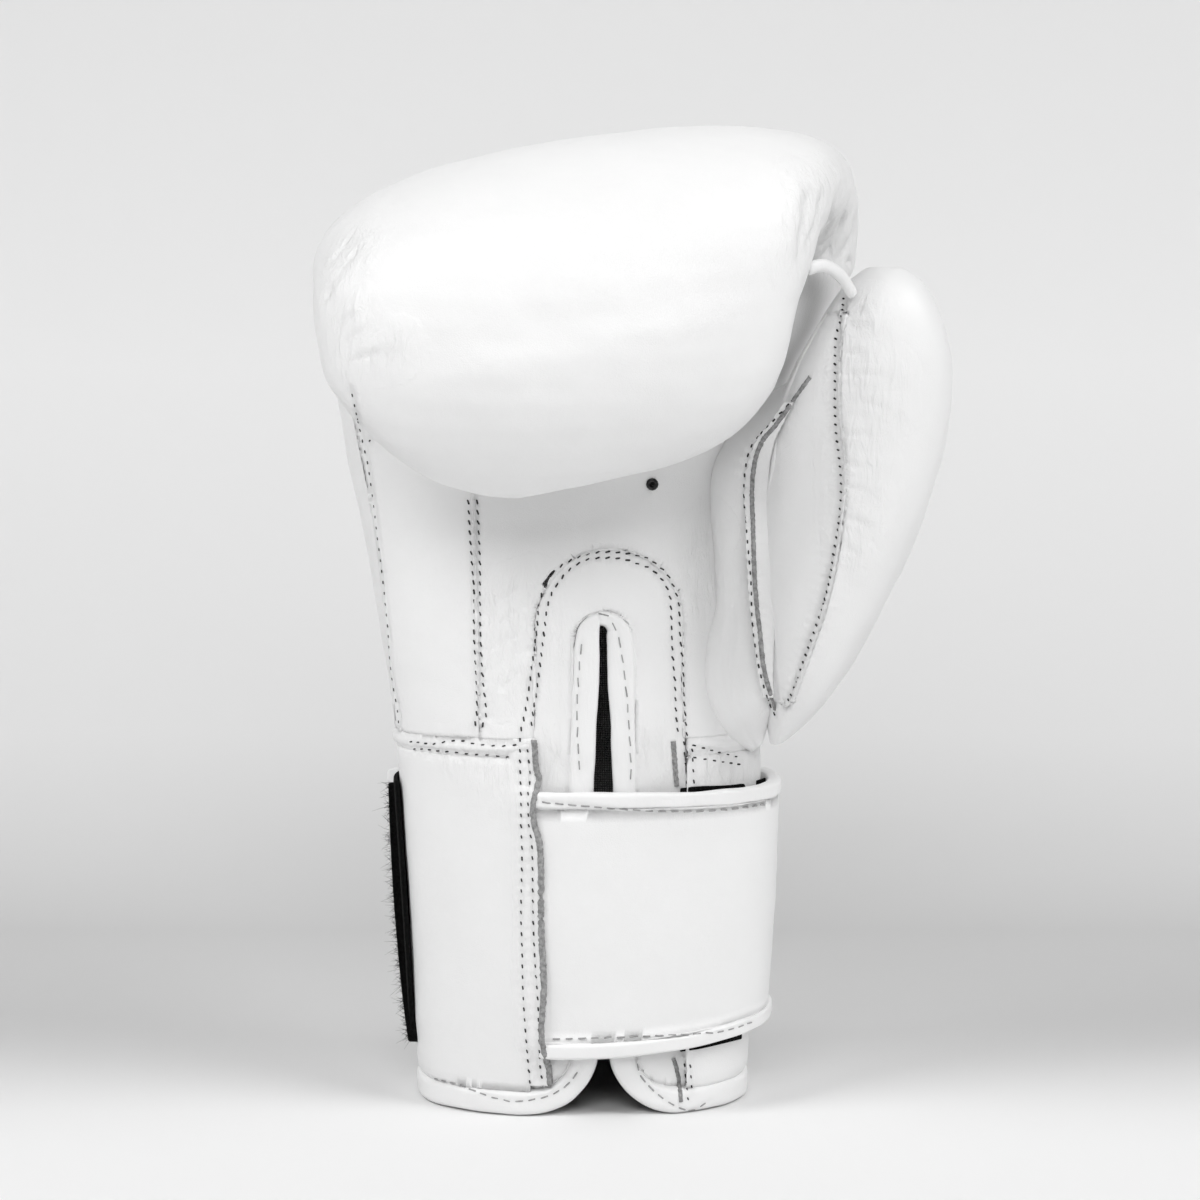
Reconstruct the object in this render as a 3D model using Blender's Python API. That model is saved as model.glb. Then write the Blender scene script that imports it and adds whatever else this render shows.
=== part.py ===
"""White leather boxing glove for the right hand, standing on its cuff.

+X is the thumb's side, -Y the palm's side and +Z up, in metres. The sleeve (cuff and hand) is a stack of
rounded sections. The fist curls over the crease line above the palm and hangs in front of it as the fold.
"""

import itertools
import math

import bmesh
import bpy
from mathutils import Vector

# Driving sizes, in metres
CUFF_HEIGHT = 0.1120
CUFF_WIDTH = 0.1030
CUFF_DEPTH = 0.0760
WRIST_WIDTH = 0.1140
WRIST_DEPTH = 0.0710
PALM_HEIGHT = 0.1280
PALM_WIDTH = 0.1180
PALM_DEPTH = 0.0710
KNUCKLE_WIDTH = 0.1630
KNUCKLE_DEPTH = 0.0730
FIST_WIDTH = 0.1620
CROWN_THICKNESS = 0.0540
FOLD_DEPTH = 0.0600
FOLD_LENGTH = 0.0480
CREASE_SLOPE = 0.20
CREASE_GAP = 0.0045
GATHER_DEPTH = 0.0012
GATHERS = 7

CUFF_WALL = 0.0058
BACK_PADDING = 0.0230
SIDE_PADDING = 0.0090
CROWN_PADDING = 0.0200
LEATHER = 0.0024
LINING = 0.0010
SEAM_GAP = 0.0004

THUMB_HEIGHT = 0.1440
THUMB_WIDTH = 0.0560
THUMB_DEPTH = 0.0520
THUMB_WALL = 0.0090

HEM_HEIGHT = 0.0080
HEM_THICKNESS = 0.0068
WELT_DIAMETER = 0.0045
WELT_WIDTH = 0.0096
LINK_DIAMETER = 0.0032
PALM_WALL = 0.0034
SLIT_HEIGHT = 0.1535
SLIT_WIDTH = 0.0030
SLIT_CORNER = 0.0200
SLIT_EDGE = 0.0080
SLIT_THICKNESS = 0.0044
TONGUE_WIDTH = 0.0460
TONGUE_HEIGHT = SLIT_HEIGHT + 0.402 * TONGUE_WIDTH
TONGUE_X = 0.054 * TONGUE_WIDTH
SLIT_X = 0.4 * TONGUE_X
TONGUE_RECESS = 0.0032

STRAP_DROP = 0.0130
STRAP_TOP = CUFF_HEIGHT - STRAP_DROP
STRAP_BOTTOM = 0.0180
STRAP_THICKNESS = 0.0022
STRAP_LINING = 0.0010
STRAP_EDGE = 0.0050
LOOP_THICKNESS = 0.0015
STRAP_LIFT = LOOP_THICKNESS + 3 * SEAM_GAP
STRAP_HEIGHT = STRAP_TOP - STRAP_BOTTOM

EYELET_DIAMETER = 0.0042
EYELET_WIRE = 0.0013

TAU = 2 * math.pi

RING_POINTS = 34
WINDOW_COLUMNS = 11
HAND_ROWS = 11
CROWN_STEPS = 22
HOLLOW_TURNS = (0.08, 0.2, 0.35, 0.5, 0.65, 0.8, 0.92)
HAND_LOW = CUFF_HEIGHT + WELT_DIAMETER / 2 + SEAM_GAP
STRAP_START = 260
STRAP_END = 526
HOOK_START = 484
HOOK_END = 536
LOOP_START = 112
LOOP_END = 194
EDGE_FOLD = 0.0004
LINING_TOP = CUFF_HEIGHT + 0.727 * PALM_HEIGHT
VENT_X = 0.133 * PALM_WIDTH
VENT_Z = CUFF_HEIGHT + 0.617 * PALM_HEIGHT

WHITE_LEATHER = ("white_leather", (0.86, 0.86, 0.86), 0.42)
BLACK_TAPE = ("black_tape", (0.012, 0.012, 0.012), 0.95)
DARK_CLOTH = ("dark_cloth", (0.06, 0.06, 0.065), 0.9)
DARK_METAL = ("dark_metal", (0.10, 0.10, 0.10), 0.4)

# Sleeve sections. Left and front are the shares of the width and depth on that side of the glove's axis.
MIDDLE_WIDTH = (PALM_WIDTH + KNUCKLE_WIDTH) / 2
SLEEVE = (
    # height, width, depth, left, front, power
    (0.0, CUFF_WIDTH, CUFF_DEPTH, 0.553, 0.486, 2.5),
    (CUFF_HEIGHT, WRIST_WIDTH, WRIST_DEPTH, 0.561, 0.465, 2.5),
    (CUFF_HEIGHT + 0.49 * PALM_HEIGHT, PALM_WIDTH, PALM_DEPTH, 0.625, 0.352, 2.8),
    (CUFF_HEIGHT + 0.80 * PALM_HEIGHT, MIDDLE_WIDTH, KNUCKLE_DEPTH, 0.573, 0.325, 2.8),
    (CUFF_HEIGHT + PALM_HEIGHT, KNUCKLE_WIDTH, KNUCKLE_DEPTH, 0.510, 0.329, 2.8),
)
CREASE_HEIGHT = SLEEVE[-1][0]
CREASE_Y = -SLEEVE[-1][4] * KNUCKLE_DEPTH

# The crown turns about the crease line. Angle 0 points to the back, 90 up and 180 to the front.
CROWN = (
    # degrees, left and right of FIST_WIDTH, thickness of CROWN_THICKNESS, slope of CREASE_SLOPE, power
    (0, 0.520, 0.490, KNUCKLE_DEPTH / CROWN_THICKNESS, 1.00, 2.8),
    (30, 0.525, 0.495, 1.29, 0.95, 2.6),
    (60, 0.528, 0.482, 1.13, 0.80, 2.4),
    (90, 0.528, 0.465, 1.03, 0.72, 2.3),
    (120, 0.525, 0.445, 1.05, 0.80, 2.3),
    (150, 0.515, 0.402, 1.09, 0.95, 2.4),
    (180, 0.495, 0.370, 1.11, 1.05, 2.5),
)

# The fold hangs from the crown's front and rounds off to its lip.
FOLD = (
    # drop of FOLD_LENGTH, left and right of FIST_WIDTH, back face and depth of FOLD_DEPTH, power
    (0.14, 0.470, 0.352, 0.080, 1.03, 2.5),
    (0.30, 0.440, 0.344, 0.100, 1.02, 2.5),
    (0.48, 0.395, 0.333, 0.130, 1.00, 2.4),
    (0.64, 0.345, 0.312, 0.165, 0.96, 2.3),
    (0.78, 0.290, 0.275, 0.220, 0.90, 2.2),
    (0.89, 0.225, 0.220, 0.300, 0.82, 2.1),
    (0.97, 0.150, 0.150, 0.400, 0.71, 2.0),
)

# Thumb sections, each level. Left and right of THUMB_WIDTH from THUMB_X, front and back of THUMB_DEPTH.
THUMB_X = 0.398 * PALM_WIDTH
THUMB_Y = -0.310 * PALM_DEPTH
THUMB_FOOT = CUFF_HEIGHT + 0.004 * PALM_HEIGHT
THUMB = (
    # height of THUMB_HEIGHT, left, right, front, back, power
    (0.000, 0.085, 0.140, -0.10, 0.10, 2.0),
    (0.030, 0.070, 0.250, -0.22, 0.36, 2.1),
    (0.100, 0.040, 0.420, -0.37, 0.58, 2.2),
    (0.220, 0.010, 0.610, -0.47, 0.70, 2.3),
    (0.330, 0.000, 0.750, -0.53, 0.68, 2.4),
    (0.450, 0.000, 0.880, -0.56, 0.58, 2.4),
    (0.570, 0.060, 0.975, -0.57, 0.44, 2.4),
    (0.700, 0.090, 1.030, -0.57, 0.25, 2.4),
    (0.820, 0.220, 1.025, -0.56, 0.10, 2.3),
    (0.905, 0.350, 0.965, -0.52, 0.03, 2.2),
    (0.965, 0.460, 0.870, -0.43, -0.05, 2.1),
    (0.995, 0.570, 0.760, -0.33, -0.12, 2.0),
)
THUMB_SEAM = (
    # height of THUMB_HEIGHT, share of the width from the left edge
    (0.0, 0.30),
    (0.18, 0.44),
    (0.33, 0.49),
    (0.54, 0.44),
    (0.76, 0.29),
    (0.935, 0.12),
)
THUMB_COLUMNS = 24
THUMB_SHARES = (0.0, 0.012, 0.03, 0.06, 0.1, 0.157, 0.214, 0.271, 0.329, 0.386, 0.443, 0.5, 0.557, 0.614)
THUMB_SHARES += (0.671, 0.729, 0.786, 0.843, 0.9, 0.935, 0.965, 0.985, 0.995)
THUMB_SKIPPED = 3
PANEL_LOW = 0.1
PANEL_HIGH = 0.9
THUMB_PANEL_COLUMNS = 5
WINDOW_LOW = 0.16
WINDOW_HIGH = 0.58

# Seam lines seen from the palm: share of PALM_HEIGHT above the wrist, share of PALM_WIDTH from the axis
LEFT_SEAM = ((0.0, -0.535), (0.45, -0.575), (0.80, -0.635), (1.0, -0.665))
MIDDLE_SEAM = ((0.0, -0.300), (0.6, -0.320), (1.0, -0.330))
RIGHT_SEAM = ((0.0, 0.385), (0.20, 0.345), (0.50, 0.325), (0.64, 0.322), (0.80, 0.370), (1.0, 0.475))

# The welt between palm and thumb, going up
WELT = (
    # share of PALM_HEIGHT, width of WELT_WIDTH
    (0.0, 0.30),
    (0.15, 0.70),
    (0.35, 0.90),
    (0.60, 0.95),
    (0.80, 1.00),
    (1.0, 0.50),
)

# The rolled edge from the fist to the thumb's top, in shares of the thumb from its corner
LINK = (
    (0.330, -0.630, 0.985),
    (0.395, -0.600, 0.995),
    (0.450, -0.558, 0.985),
    (0.491, -0.496, 0.969),
    (0.527, -0.450, 0.948),
)

# The strap's inner face and lower edge, going round from the front
STRAP_COURSE = (
    # degrees, out from the cuff in STRAP_LIFT, lower edge above STRAP_BOTTOM in STRAP_HEIGHT
    (259, -0.778, 0.000),
    (267, -0.296, 0.000),
    (282, -0.222, 0.012),
    (301, 0.333, 0.037),
    (328, 0.889, 0.068),
    (360, 0.963, 0.080),
    (410, 1.000, 0.062),
    (526, 1.000, 0.049),
)


def blend(rows, at):
    """The row of a table at this value of its first column, on a smooth curve through the rows."""
    if at <= rows[0][0]:
        return rows[0][1:]
    if at >= rows[-1][0]:
        return rows[-1][1:]
    i = next(k for k in range(len(rows) - 1) if at <= rows[k + 1][0])

    def slope(k, column):
        low, high = max(k - 1, 0), min(k + 1, len(rows) - 1)
        return (rows[high][column] - rows[low][column]) / (rows[high][0] - rows[low][0])

    span = rows[i + 1][0] - rows[i][0]
    t = (at - rows[i][0]) / span
    found = []
    for c in range(1, len(rows[i])):
        start, end = rows[i][c], rows[i + 1][c]
        found.append(
            (2 * t**3 - 3 * t**2 + 1) * start
            + (t**3 - 2 * t**2 + t) * span * slope(i, c)
            + (3 * t**2 - 2 * t**3) * end
            + (t**3 - t**2) * span * slope(i + 1, c)
        )
    return found


class Section:
    """A rounded closed outline between a left, right, front and back edge."""

    def __init__(self, left, right, front, back, power):
        self.left, self.right, self.front, self.back, self.power = left, right, front, back, power
        self.x = (left + right) / 2
        self.y = (front + back) / 2

    def grown(self, side, front=None, back=None):
        front = side if front is None else front
        back = side if back is None else back
        return Section(
            self.left - side, self.right + side, self.front - front, self.back + back, self.power
        )

    def at(self, angle):
        c, s = math.cos(angle), math.sin(angle)
        x = math.copysign(abs(c) ** (2 / self.power), c) * (self.right - self.left) / 2
        y = math.copysign(abs(s) ** (2 / self.power), s) * (self.back - self.front) / 2
        return self.x + x, self.y + y

    def front_at(self, x):
        """Depth of the front face at this x."""
        a, b = (self.right - self.left) / 2, (self.back - self.front) / 2
        share = min(abs(x - self.x) / a, 0.999)
        return self.y - b * (1 - share**self.power) ** (1 / self.power)

    def angle_at(self, x):
        """Angle of the front face's point at this x, from 180 to 360 degrees."""
        share = (x - self.x) / ((self.right - self.left) / 2)
        share = math.copysign(min(abs(share), 0.999) ** (self.power / 2), share)
        return TAU - math.acos(share)


def sleeve(z, out=0.0):
    """The glove's outer section at this height, grown outwards."""
    width, depth, left, front, power = blend(SLEEVE, z)
    section = Section(-left * width, (1 - left) * width, -front * depth, (1 - front) * depth, power)
    return section.grown(out)


def cavity(z):
    """The hollow's section at this height, inside the cuff wall and the hand's padding."""
    share = min(max((z - CUFF_HEIGHT) / (0.35 * PALM_HEIGHT), 0.0), 1.0)
    share = share * share * (3 - 2 * share)
    side = CUFF_WALL + share * (SIDE_PADDING - CUFF_WALL)
    front = CUFF_WALL + share * (PALM_WALL - CUFF_WALL)
    back = CUFF_WALL + share * (BACK_PADDING - CUFF_WALL)
    return sleeve(z).grown(-side, -front, -back)


def palm_share(z):
    return (z - CUFF_HEIGHT) / PALM_HEIGHT


def seam(rows, z):
    return blend(rows, palm_share(z))[0] * PALM_WIDTH


def steps(low, high, count):
    return [low + (high - low) * i / count for i in range(count + 1)]


def material(finish):
    name, color, roughness = finish
    made = bpy.data.materials.get(name) or bpy.data.materials.new(name)
    made.use_nodes = True
    shader = made.node_tree.nodes["Principled BSDF"]
    shader.inputs["Base Color"].default_value = (*color, 1.0)
    shader.inputs["Roughness"].default_value = roughness
    shader.inputs["Metallic"].default_value = 1.0 if name == DARK_METAL[0] else 0.0
    return made


def add_object(name, bm, finish):
    bmesh.ops.remove_doubles(bm, verts=bm.verts, dist=1e-6)
    bmesh.ops.recalc_face_normals(bm, faces=bm.faces)
    mesh = bpy.data.meshes.new(name)
    bm.to_mesh(mesh)
    bm.free()
    mesh.shade_smooth()
    mesh.set_sharp_from_angle(angle=math.radians(40))
    made = bpy.data.objects.new(name, mesh)
    made.data.materials.append(material(finish))
    GLOVE.objects.link(made)
    made.parent = ORIGIN
    return made


def fan(bm, ring):
    """Closes a ring of vertices at its middle."""
    tip = bm.verts.new(sum((v.co for v in ring), Vector()) / len(ring))
    for j, vert in enumerate(ring):
        bm.faces.new((vert, ring[(j + 1) % len(ring)], tip))


def wall(name, finish, outer, inner, present=None, wrap=False, capped=(False, False), skipped=0):
    """A closed wall between two grids of points that leave out the same cells.

    The inner grid starts the skipped rows later. A capped end is closed on both grids.
    """
    bm = bmesh.new()
    columns = len(outer[0])
    cells = columns if wrap else columns - 1
    grids = [[[bm.verts.new(p) for p in row] for row in grid] for grid in (outer, inner)]

    def there(i, j):
        inside = 0 <= i < len(outer) - 1 and (wrap or 0 <= j < cells)
        return inside and (present is None or present(i, j % cells))

    for grid, first in zip(grids, (0, skipped)):
        for i, j in itertools.product(range(len(grid) - 1), range(cells)):
            if there(i + first, j):
                k = (j + 1) % columns
                bm.faces.new((grid[i][j], grid[i][k], grid[i + 1][k], grid[i + 1][j]))
        for ring, closed in ((grid[0], capped[0]), (grid[-1], capped[1])):
            if closed:
                fan(bm, ring)
    for i, j in itertools.product(range(len(inner) - 1), range(cells)):
        o = i + skipped
        if not there(o, j):
            continue
        k = (j + 1) % columns
        for joined, a, b in (
            (there(o, j - 1), (0, j), (1, j)),
            (there(o, j + 1), (0, k), (1, k)),
            (there(o - 1, j), (0, j), (0, k)),
            (there(o + 1, j), (1, j), (1, k)),
        ):
            if not joined:
                top = [grids[0][o + row][column] for row, column in (a, b)]
                low = [grids[1][i + row][column] for row, column in (b, a)]
                bm.faces.new(top + low)
    bmesh.ops.delete(bm, geom=[v for v in bm.verts if not v.link_faces], context="VERTS")
    return add_object(name, bm, finish)


# A band's outline, in shares of its half width and half thickness
BAND = ((-1.0, -0.5), (-0.7, -1.0), (0.7, -1.0), (1.0, -0.5))
BAND += ((1.0, 0.5), (0.7, 1.0), (-0.7, 1.0), (-1.0, 0.5))


def sweep(name, finish, path, normals, widths, thicknesses, closed=False):
    """A band with rounded edges along a path: width across the path, thickness along the normals."""
    bm = bmesh.new()
    rings = []
    count = len(path)
    for i, (point, normal) in enumerate(zip(path, normals)):
        after = path[(i + 1) % count] if closed or i < count - 1 else point
        before = path[i - 1] if closed or i > 0 else point
        across = normal.cross(after - before).normalized()
        w, h = widths[i] / 2, thicknesses[i] / 2
        rings.append([bm.verts.new(point + across * (a * w) + normal * (b * h)) for a, b in BAND])
    for i in range(count if closed else count - 1):
        ring, following = rings[i], rings[(i + 1) % count]
        for j in range(len(BAND)):
            k = (j + 1) % len(BAND)
            bm.faces.new((ring[j], ring[k], following[k], following[j]))
    if not closed:
        bm.faces.new(rings[0])
        bm.faces.new(rings[-1])
    return add_object(name, bm, finish)


def tube(name, finish, points, diameter, closed=False):
    curve = bpy.data.curves.new(name, "CURVE")
    curve.dimensions = "3D"
    curve.bevel_depth = diameter / 2
    curve.bevel_resolution = 2
    curve.use_fill_caps = True
    spline = curve.splines.new("POLY")
    spline.points.add(len(points) - 1)
    spline.use_cyclic_u = closed
    for target, point in zip(spline.points, points):
        target.co = (*point, 1.0)
    made = bpy.data.objects.new(name, curve)
    curve.materials.append(material(finish))
    GLOVE.objects.link(made)
    made.parent = ORIGIN
    return made


def cutter(name, outline, low_y, high_y):
    """A prism along Y with this outline in X and Z."""
    bm = bmesh.new()
    front = [bm.verts.new((x, low_y, z)) for x, z in outline]
    bm.faces.new(front)
    made = bmesh.ops.extrude_face_region(bm, geom=bm.faces[:])
    moved = [v for v in made["geom"] if isinstance(v, bmesh.types.BMVert)]
    bmesh.ops.translate(bm, verts=moved, vec=(0, high_y - low_y, 0))
    bmesh.ops.recalc_face_normals(bm, faces=bm.faces)
    mesh = bpy.data.meshes.new(name)
    bm.to_mesh(mesh)
    bm.free()
    tool = bpy.data.objects.new(name, mesh)
    tool.hide_render = True
    tool.display_type = "WIRE"
    CUTTERS.objects.link(tool)
    tool.parent = ORIGIN
    return tool


def cut(target, tool):
    modifier = target.modifiers.new("cut_" + tool.name, "BOOLEAN")
    modifier.operation = "DIFFERENCE"
    modifier.object = tool


def crown_point(turn, reach, x):
    """A point over the crease line: x across, and how far out from the crease at this turn of 0 to 1."""
    slope = blend(CROWN, 180 * turn)[3] * CREASE_SLOPE
    return Vector(
        (
            x,
            CREASE_Y + reach * math.cos(math.pi * turn),
            CREASE_HEIGHT + slope * x + reach * math.sin(math.pi * turn),
        )
    )


def gather_depth(turn, angle):
    """Depth of the pleats at the fist's two ends. Turn runs from 0 to 1 over the crown."""
    right = max(0.0, math.cos(angle + math.radians(25))) ** 4
    left = 0.5 * max(0.0, -math.cos(angle - math.radians(15))) ** 6
    fade = math.sin(math.pi * min(max((turn - 0.12) / 0.88, 0.0), 1.0)) ** 0.5
    return GATHER_DEPTH * (right + left) * fade * (1 + math.cos(TAU * GATHERS * turn)) / 2


def crown_section(turn):
    left, right, thick, _, power = blend(CROWN, 180 * turn)
    low = CREASE_GAP * math.sin(math.pi * min(turn, 0.5))
    return Section(-left * FIST_WIDTH, right * FIST_WIDTH, low, thick * CROWN_THICKNESS, power)


def crown_ring(turn, angles):
    section = crown_section(turn)
    ring = []
    for angle in angles:
        x, reach = section.at(angle)
        pleat = gather_depth(turn, angle)
        ring.append(
            crown_point(turn, reach - pleat * math.sin(angle), x - pleat * math.cos(angle))
        )
    return ring


def hollow_ring(turn, angles):
    """One section of the hollow inside the crown."""
    share = math.sin(math.pi * turn / 2)
    top = BACK_PADDING + (CROWN_PADDING - BACK_PADDING) * share
    section = crown_section(turn).grown(-SIDE_PADDING * (1 + 0.8 * share), -CUFF_WALL, -top)
    return [crown_point(turn, reach, x) for x, reach in (section.at(a) for a in angles)]


def fold_ring(row, angles):
    drop, left, right, rear, depth, power = row
    section = Section(
        -left * FIST_WIDTH, right * FIST_WIDTH, rear * FOLD_DEPTH, depth * FOLD_DEPTH, power
    )
    ring = []
    for x, reach in (section.at(a) for a in angles):
        z = CREASE_HEIGHT + CROWN[-1][4] * CREASE_SLOPE * x - drop * FOLD_LENGTH
        ring.append(Vector((x, CREASE_Y - reach, z)))
    return ring


def level_ring(section, z, angles, tilt=0.0):
    return [Vector((x, y, z + tilt * x)) for x, y in (section.at(a) for a in angles)]


def pad_angles(section, z):
    """Columns of the back pad on this section, then the columns across the open palm."""
    right = section.angle_at(seam(RIGHT_SEAM, z))
    left = section.angle_at(seam(LEFT_SEAM, z))
    back = RING_POINTS - WINDOW_COLUMNS
    return steps(right - TAU, left, back) + steps(left, right, WINDOW_COLUMNS)[1:-1]


def hand_tilt(z):
    share = max(palm_share(z), 0.0)
    return CREASE_SLOPE * share**3


def hand_heights(top):
    return steps(HAND_LOW, CREASE_HEIGHT, HAND_ROWS)[:-1] + [top]


def in_thumb_window(z):
    return WINDOW_LOW < palm_share(z) < WINDOW_HIGH


def build_fist():
    """The back of the hand, the crown over the knuckles and the fold, round the hollow for the hand."""
    outer, inner = [], []
    heights = hand_heights(CREASE_HEIGHT)
    for z in heights:
        for rows, section in ((outer, sleeve(z)), (inner, cavity(z))):
            rows.append(level_ring(section, z, pad_angles(section, z), hand_tilt(z)))
    angles = pad_angles(sleeve(CREASE_HEIGHT), CREASE_HEIGHT)
    for i in range(1, CROWN_STEPS + 1):
        outer.append(crown_ring(i / CROWN_STEPS, angles))
    outer += [fold_ring(row, angles) for row in FOLD]
    angles = pad_angles(cavity(CREASE_HEIGHT), CREASE_HEIGHT)
    inner += [hollow_ring(turn, angles) for turn in HOLLOW_TURNS]
    back = RING_POINTS - WINDOW_COLUMNS

    def present(i, j):
        if i >= HAND_ROWS:
            return True
        facing_thumb = 1 <= j <= 3 and in_thumb_window(heights[i]) and in_thumb_window(heights[i + 1])
        return j < back and not facing_thumb

    return wall("fist_pad", WHITE_LEATHER, outer, inner, present, wrap=True, capped=(False, True))


def front_patch(name, heights, left, right, columns, face, back):
    """A panel on the front. Left and right give its seams' x at a height, face and back its sections."""
    outer, inner = [], []
    for z in heights:
        for rows, section in ((outer, face(z)), (inner, back(z))):
            gap = SEAM_GAP / (0.4 * (section.right - section.left))
            low, high = section.angle_at(left(z)) + gap, section.angle_at(right(z)) - gap
            rows.append(level_ring(section, z, steps(low, high, columns), hand_tilt(z)))
    return wall(name, WHITE_LEATHER, outer, inner)


def arch_half(z, margin=0.0):
    """Half width of the tongue at this height."""
    half = TONGUE_WIDTH / 2
    rise = max(z - (TONGUE_HEIGHT - half), 0.0)
    return math.sqrt(max((half + margin) ** 2 - rise**2, 0.0))


def arch_outline(margin):
    """The tongue's inverted U in X and Z, from its left foot over the top to its right foot."""
    half = TONGUE_WIDTH / 2 + margin
    centre = TONGUE_HEIGHT - TONGUE_WIDTH / 2
    points = [(TONGUE_X - half, -half)]
    for angle in steps(math.pi, 0, 16):
        points.append((TONGUE_X + half * math.cos(angle), centre + half * math.sin(angle)))
    return points + [(TONGUE_X + half, -half)]


def build_palm():
    """The flat palm leather, cut out for the tongue, and the narrow padded strip beside it."""
    heights = hand_heights(CREASE_HEIGHT - SEAM_GAP)
    palm = front_patch(
        "palm_panel",
        heights,
        lambda z: seam(MIDDLE_SEAM, z),
        lambda z: seam(RIGHT_SEAM, z) - 4 * SEAM_GAP,
        10,
        sleeve,
        lambda z: sleeve(z, -LEATHER),
    )
    cut(palm, cutter("tongue_window", arch_outline(SEAM_GAP), -CUFF_DEPTH, 0.0))
    hole = EYELET_DIAMETER / 2
    turn = steps(0, TAU, 12)[:-1]
    circle = [(VENT_X + hole * math.cos(a), VENT_Z + hole * math.sin(a)) for a in turn]
    cut(palm, cutter("vent_hole", circle, -CUFF_DEPTH, 0.0))
    front_patch(
        "palm_side_pad",
        heights,
        lambda z: seam(LEFT_SEAM, z),
        lambda z: seam(MIDDLE_SEAM, z),
        5,
        sleeve,
        cavity,
    )
    ring = (EYELET_DIAMETER - EYELET_WIRE) / 2 - SEAM_GAP / 2
    y = sleeve(VENT_Z).front_at(VENT_X)
    points = [(VENT_X + ring * math.cos(a), y, VENT_Z + ring * math.sin(a)) for a in turn]
    tube("vent_eyelet", DARK_METAL, points, EYELET_WIRE, closed=True)


def tongue_out(z):
    """How far the tongue's face lies out from the sleeve: sunk under the strap, flush in the palm."""
    share = min(max((z - STRAP_TOP) / (1.5 * (CUFF_HEIGHT - STRAP_TOP)), 0.0), 1.0)
    return -TONGUE_RECESS * (1 - share * share * (3 - 2 * share))


def slit_outline():
    """The slit with its binding cut out of the tongue: half of it, as x from the middle and z, going up."""
    half = SLIT_WIDTH / 2 + SLIT_EDGE + SEAM_GAP
    inner = SLIT_CORNER - SLIT_EDGE - SEAM_GAP
    arc = [
        (SLIT_WIDTH / 2 + SLIT_CORNER - inner * math.cos(a), SLIT_CORNER - inner * math.sin(a))
        for a in steps(math.pi / 2, 0, 6)
    ]
    low = SLIT_HEIGHT - SLIT_EDGE
    high = SLIT_WIDTH / 2 + 0.75 * SLIT_EDGE + SEAM_GAP
    cap = [(half * math.cos(a), low + high * math.sin(a)) for a in steps(0, math.pi / 2, 6)]
    return [(TONGUE_WIDTH, -SLIT_CORNER), (TONGUE_WIDTH, arc[0][1])] + arc + cap


def build_tongue():
    half = slit_outline()
    outline = [(SLIT_X + x, z) for x, z in half]
    outline += [(SLIT_X - x, z) for x, z in reversed(half[:-1])]
    low = HEM_HEIGHT + SEAM_GAP
    shoulder = TONGUE_HEIGHT - TONGUE_WIDTH / 2
    heights = steps(low, shoulder, 10)
    heights += [shoulder + TONGUE_WIDTH / 2 * math.sin(a) for a in steps(0, 0.46 * math.pi, 7)[1:]]
    tongue = front_patch(
        "palm_tongue",
        heights,
        lambda z: TONGUE_X - arch_half(z),
        lambda z: TONGUE_X + arch_half(z),
        8,
        lambda z: sleeve(z, tongue_out(z)),
        lambda z: sleeve(z, tongue_out(z) - LEATHER),
    )
    cut(tongue, cutter("slit", outline, -CUFF_DEPTH, 0.0))


def cuff_angles(section, count):
    """Columns round the cuff from the tongue's right edge over the back to its left edge."""
    right = section.angle_at(TONGUE_X + TONGUE_WIDTH / 2 + SEAM_GAP)
    left = section.angle_at(TONGUE_X - TONGUE_WIDTH / 2 - SEAM_GAP)
    return steps(right - TAU, left, count)


def build_cuff():
    outer, inner = [], []
    for z in steps(HEM_HEIGHT + SEAM_GAP, CUFF_HEIGHT - WELT_DIAMETER / 2 - SEAM_GAP, 4):
        for rows, section in ((outer, sleeve(z)), (inner, cavity(z))):
            rows.append(level_ring(section, z, cuff_angles(section, 32)))
    wall("cuff_wall", WHITE_LEATHER, outer, inner)
    section = sleeve(CUFF_HEIGHT, -WELT_DIAMETER / 4)
    tube(
        "wrist_welt",
        WHITE_LEATHER,
        level_ring(section, CUFF_HEIGHT, cuff_angles(section, 30)),
        WELT_DIAMETER,
    )


def on_tongue(x, z):
    """A point in the middle of the tongue's leather, and the way out from it."""
    section = sleeve(z, tongue_out(z) - LEATHER / 2)
    angle = section.angle_at(x)
    step = 0.01
    ahead, behind = section.at(angle + step), section.at(angle - step)
    along = Vector((ahead[0] - behind[0], ahead[1] - behind[1], 0))
    return Vector((x, section.front_at(x), z)), along.cross(Vector((0, 0, 1))).normalized()


def slit_run(side):
    """The binding up one side of the slit, from its top down round the corner of the cuff."""
    middle = SLIT_CORNER - SLIT_EDGE / 2
    foot = SLIT_WIDTH / 2 + SLIT_CORNER
    heights = steps(SLIT_HEIGHT - SLIT_EDGE, SLIT_CORNER, 7)
    places = [((SLIT_WIDTH + SLIT_EDGE) / 2, z, 0.0) for z in heights]
    for angle in steps(0, math.pi / 2, 6)[1:-1]:
        share = 2 * angle / math.pi
        places.append((foot - middle * math.cos(angle), SLIT_CORNER - middle * math.sin(angle), share))
    run = []
    for x, z, share in places:
        point, normal = on_tongue(SLIT_X + side * x, z)
        thickness = SLIT_THICKNESS + share * (HEM_THICKNESS - SLIT_THICKNESS)
        run.append((point, normal, SLIT_EDGE, thickness))
    return run


def slit_cap(side):
    """The binding over half of the slit's round top, from the middle out."""
    radius = (SLIT_WIDTH + SLIT_EDGE) / 2
    run = []
    for angle in steps(0, math.pi / 2, 4)[:-1]:
        across, up = radius * math.sin(angle), radius * math.cos(angle)
        point, normal = on_tongue(SLIT_X + side * across, SLIT_HEIGHT - SLIT_EDGE + up)
        run.append((point, normal, SLIT_EDGE * (1 - math.cos(angle) / 2), SLIT_THICKNESS))
    return run


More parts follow.
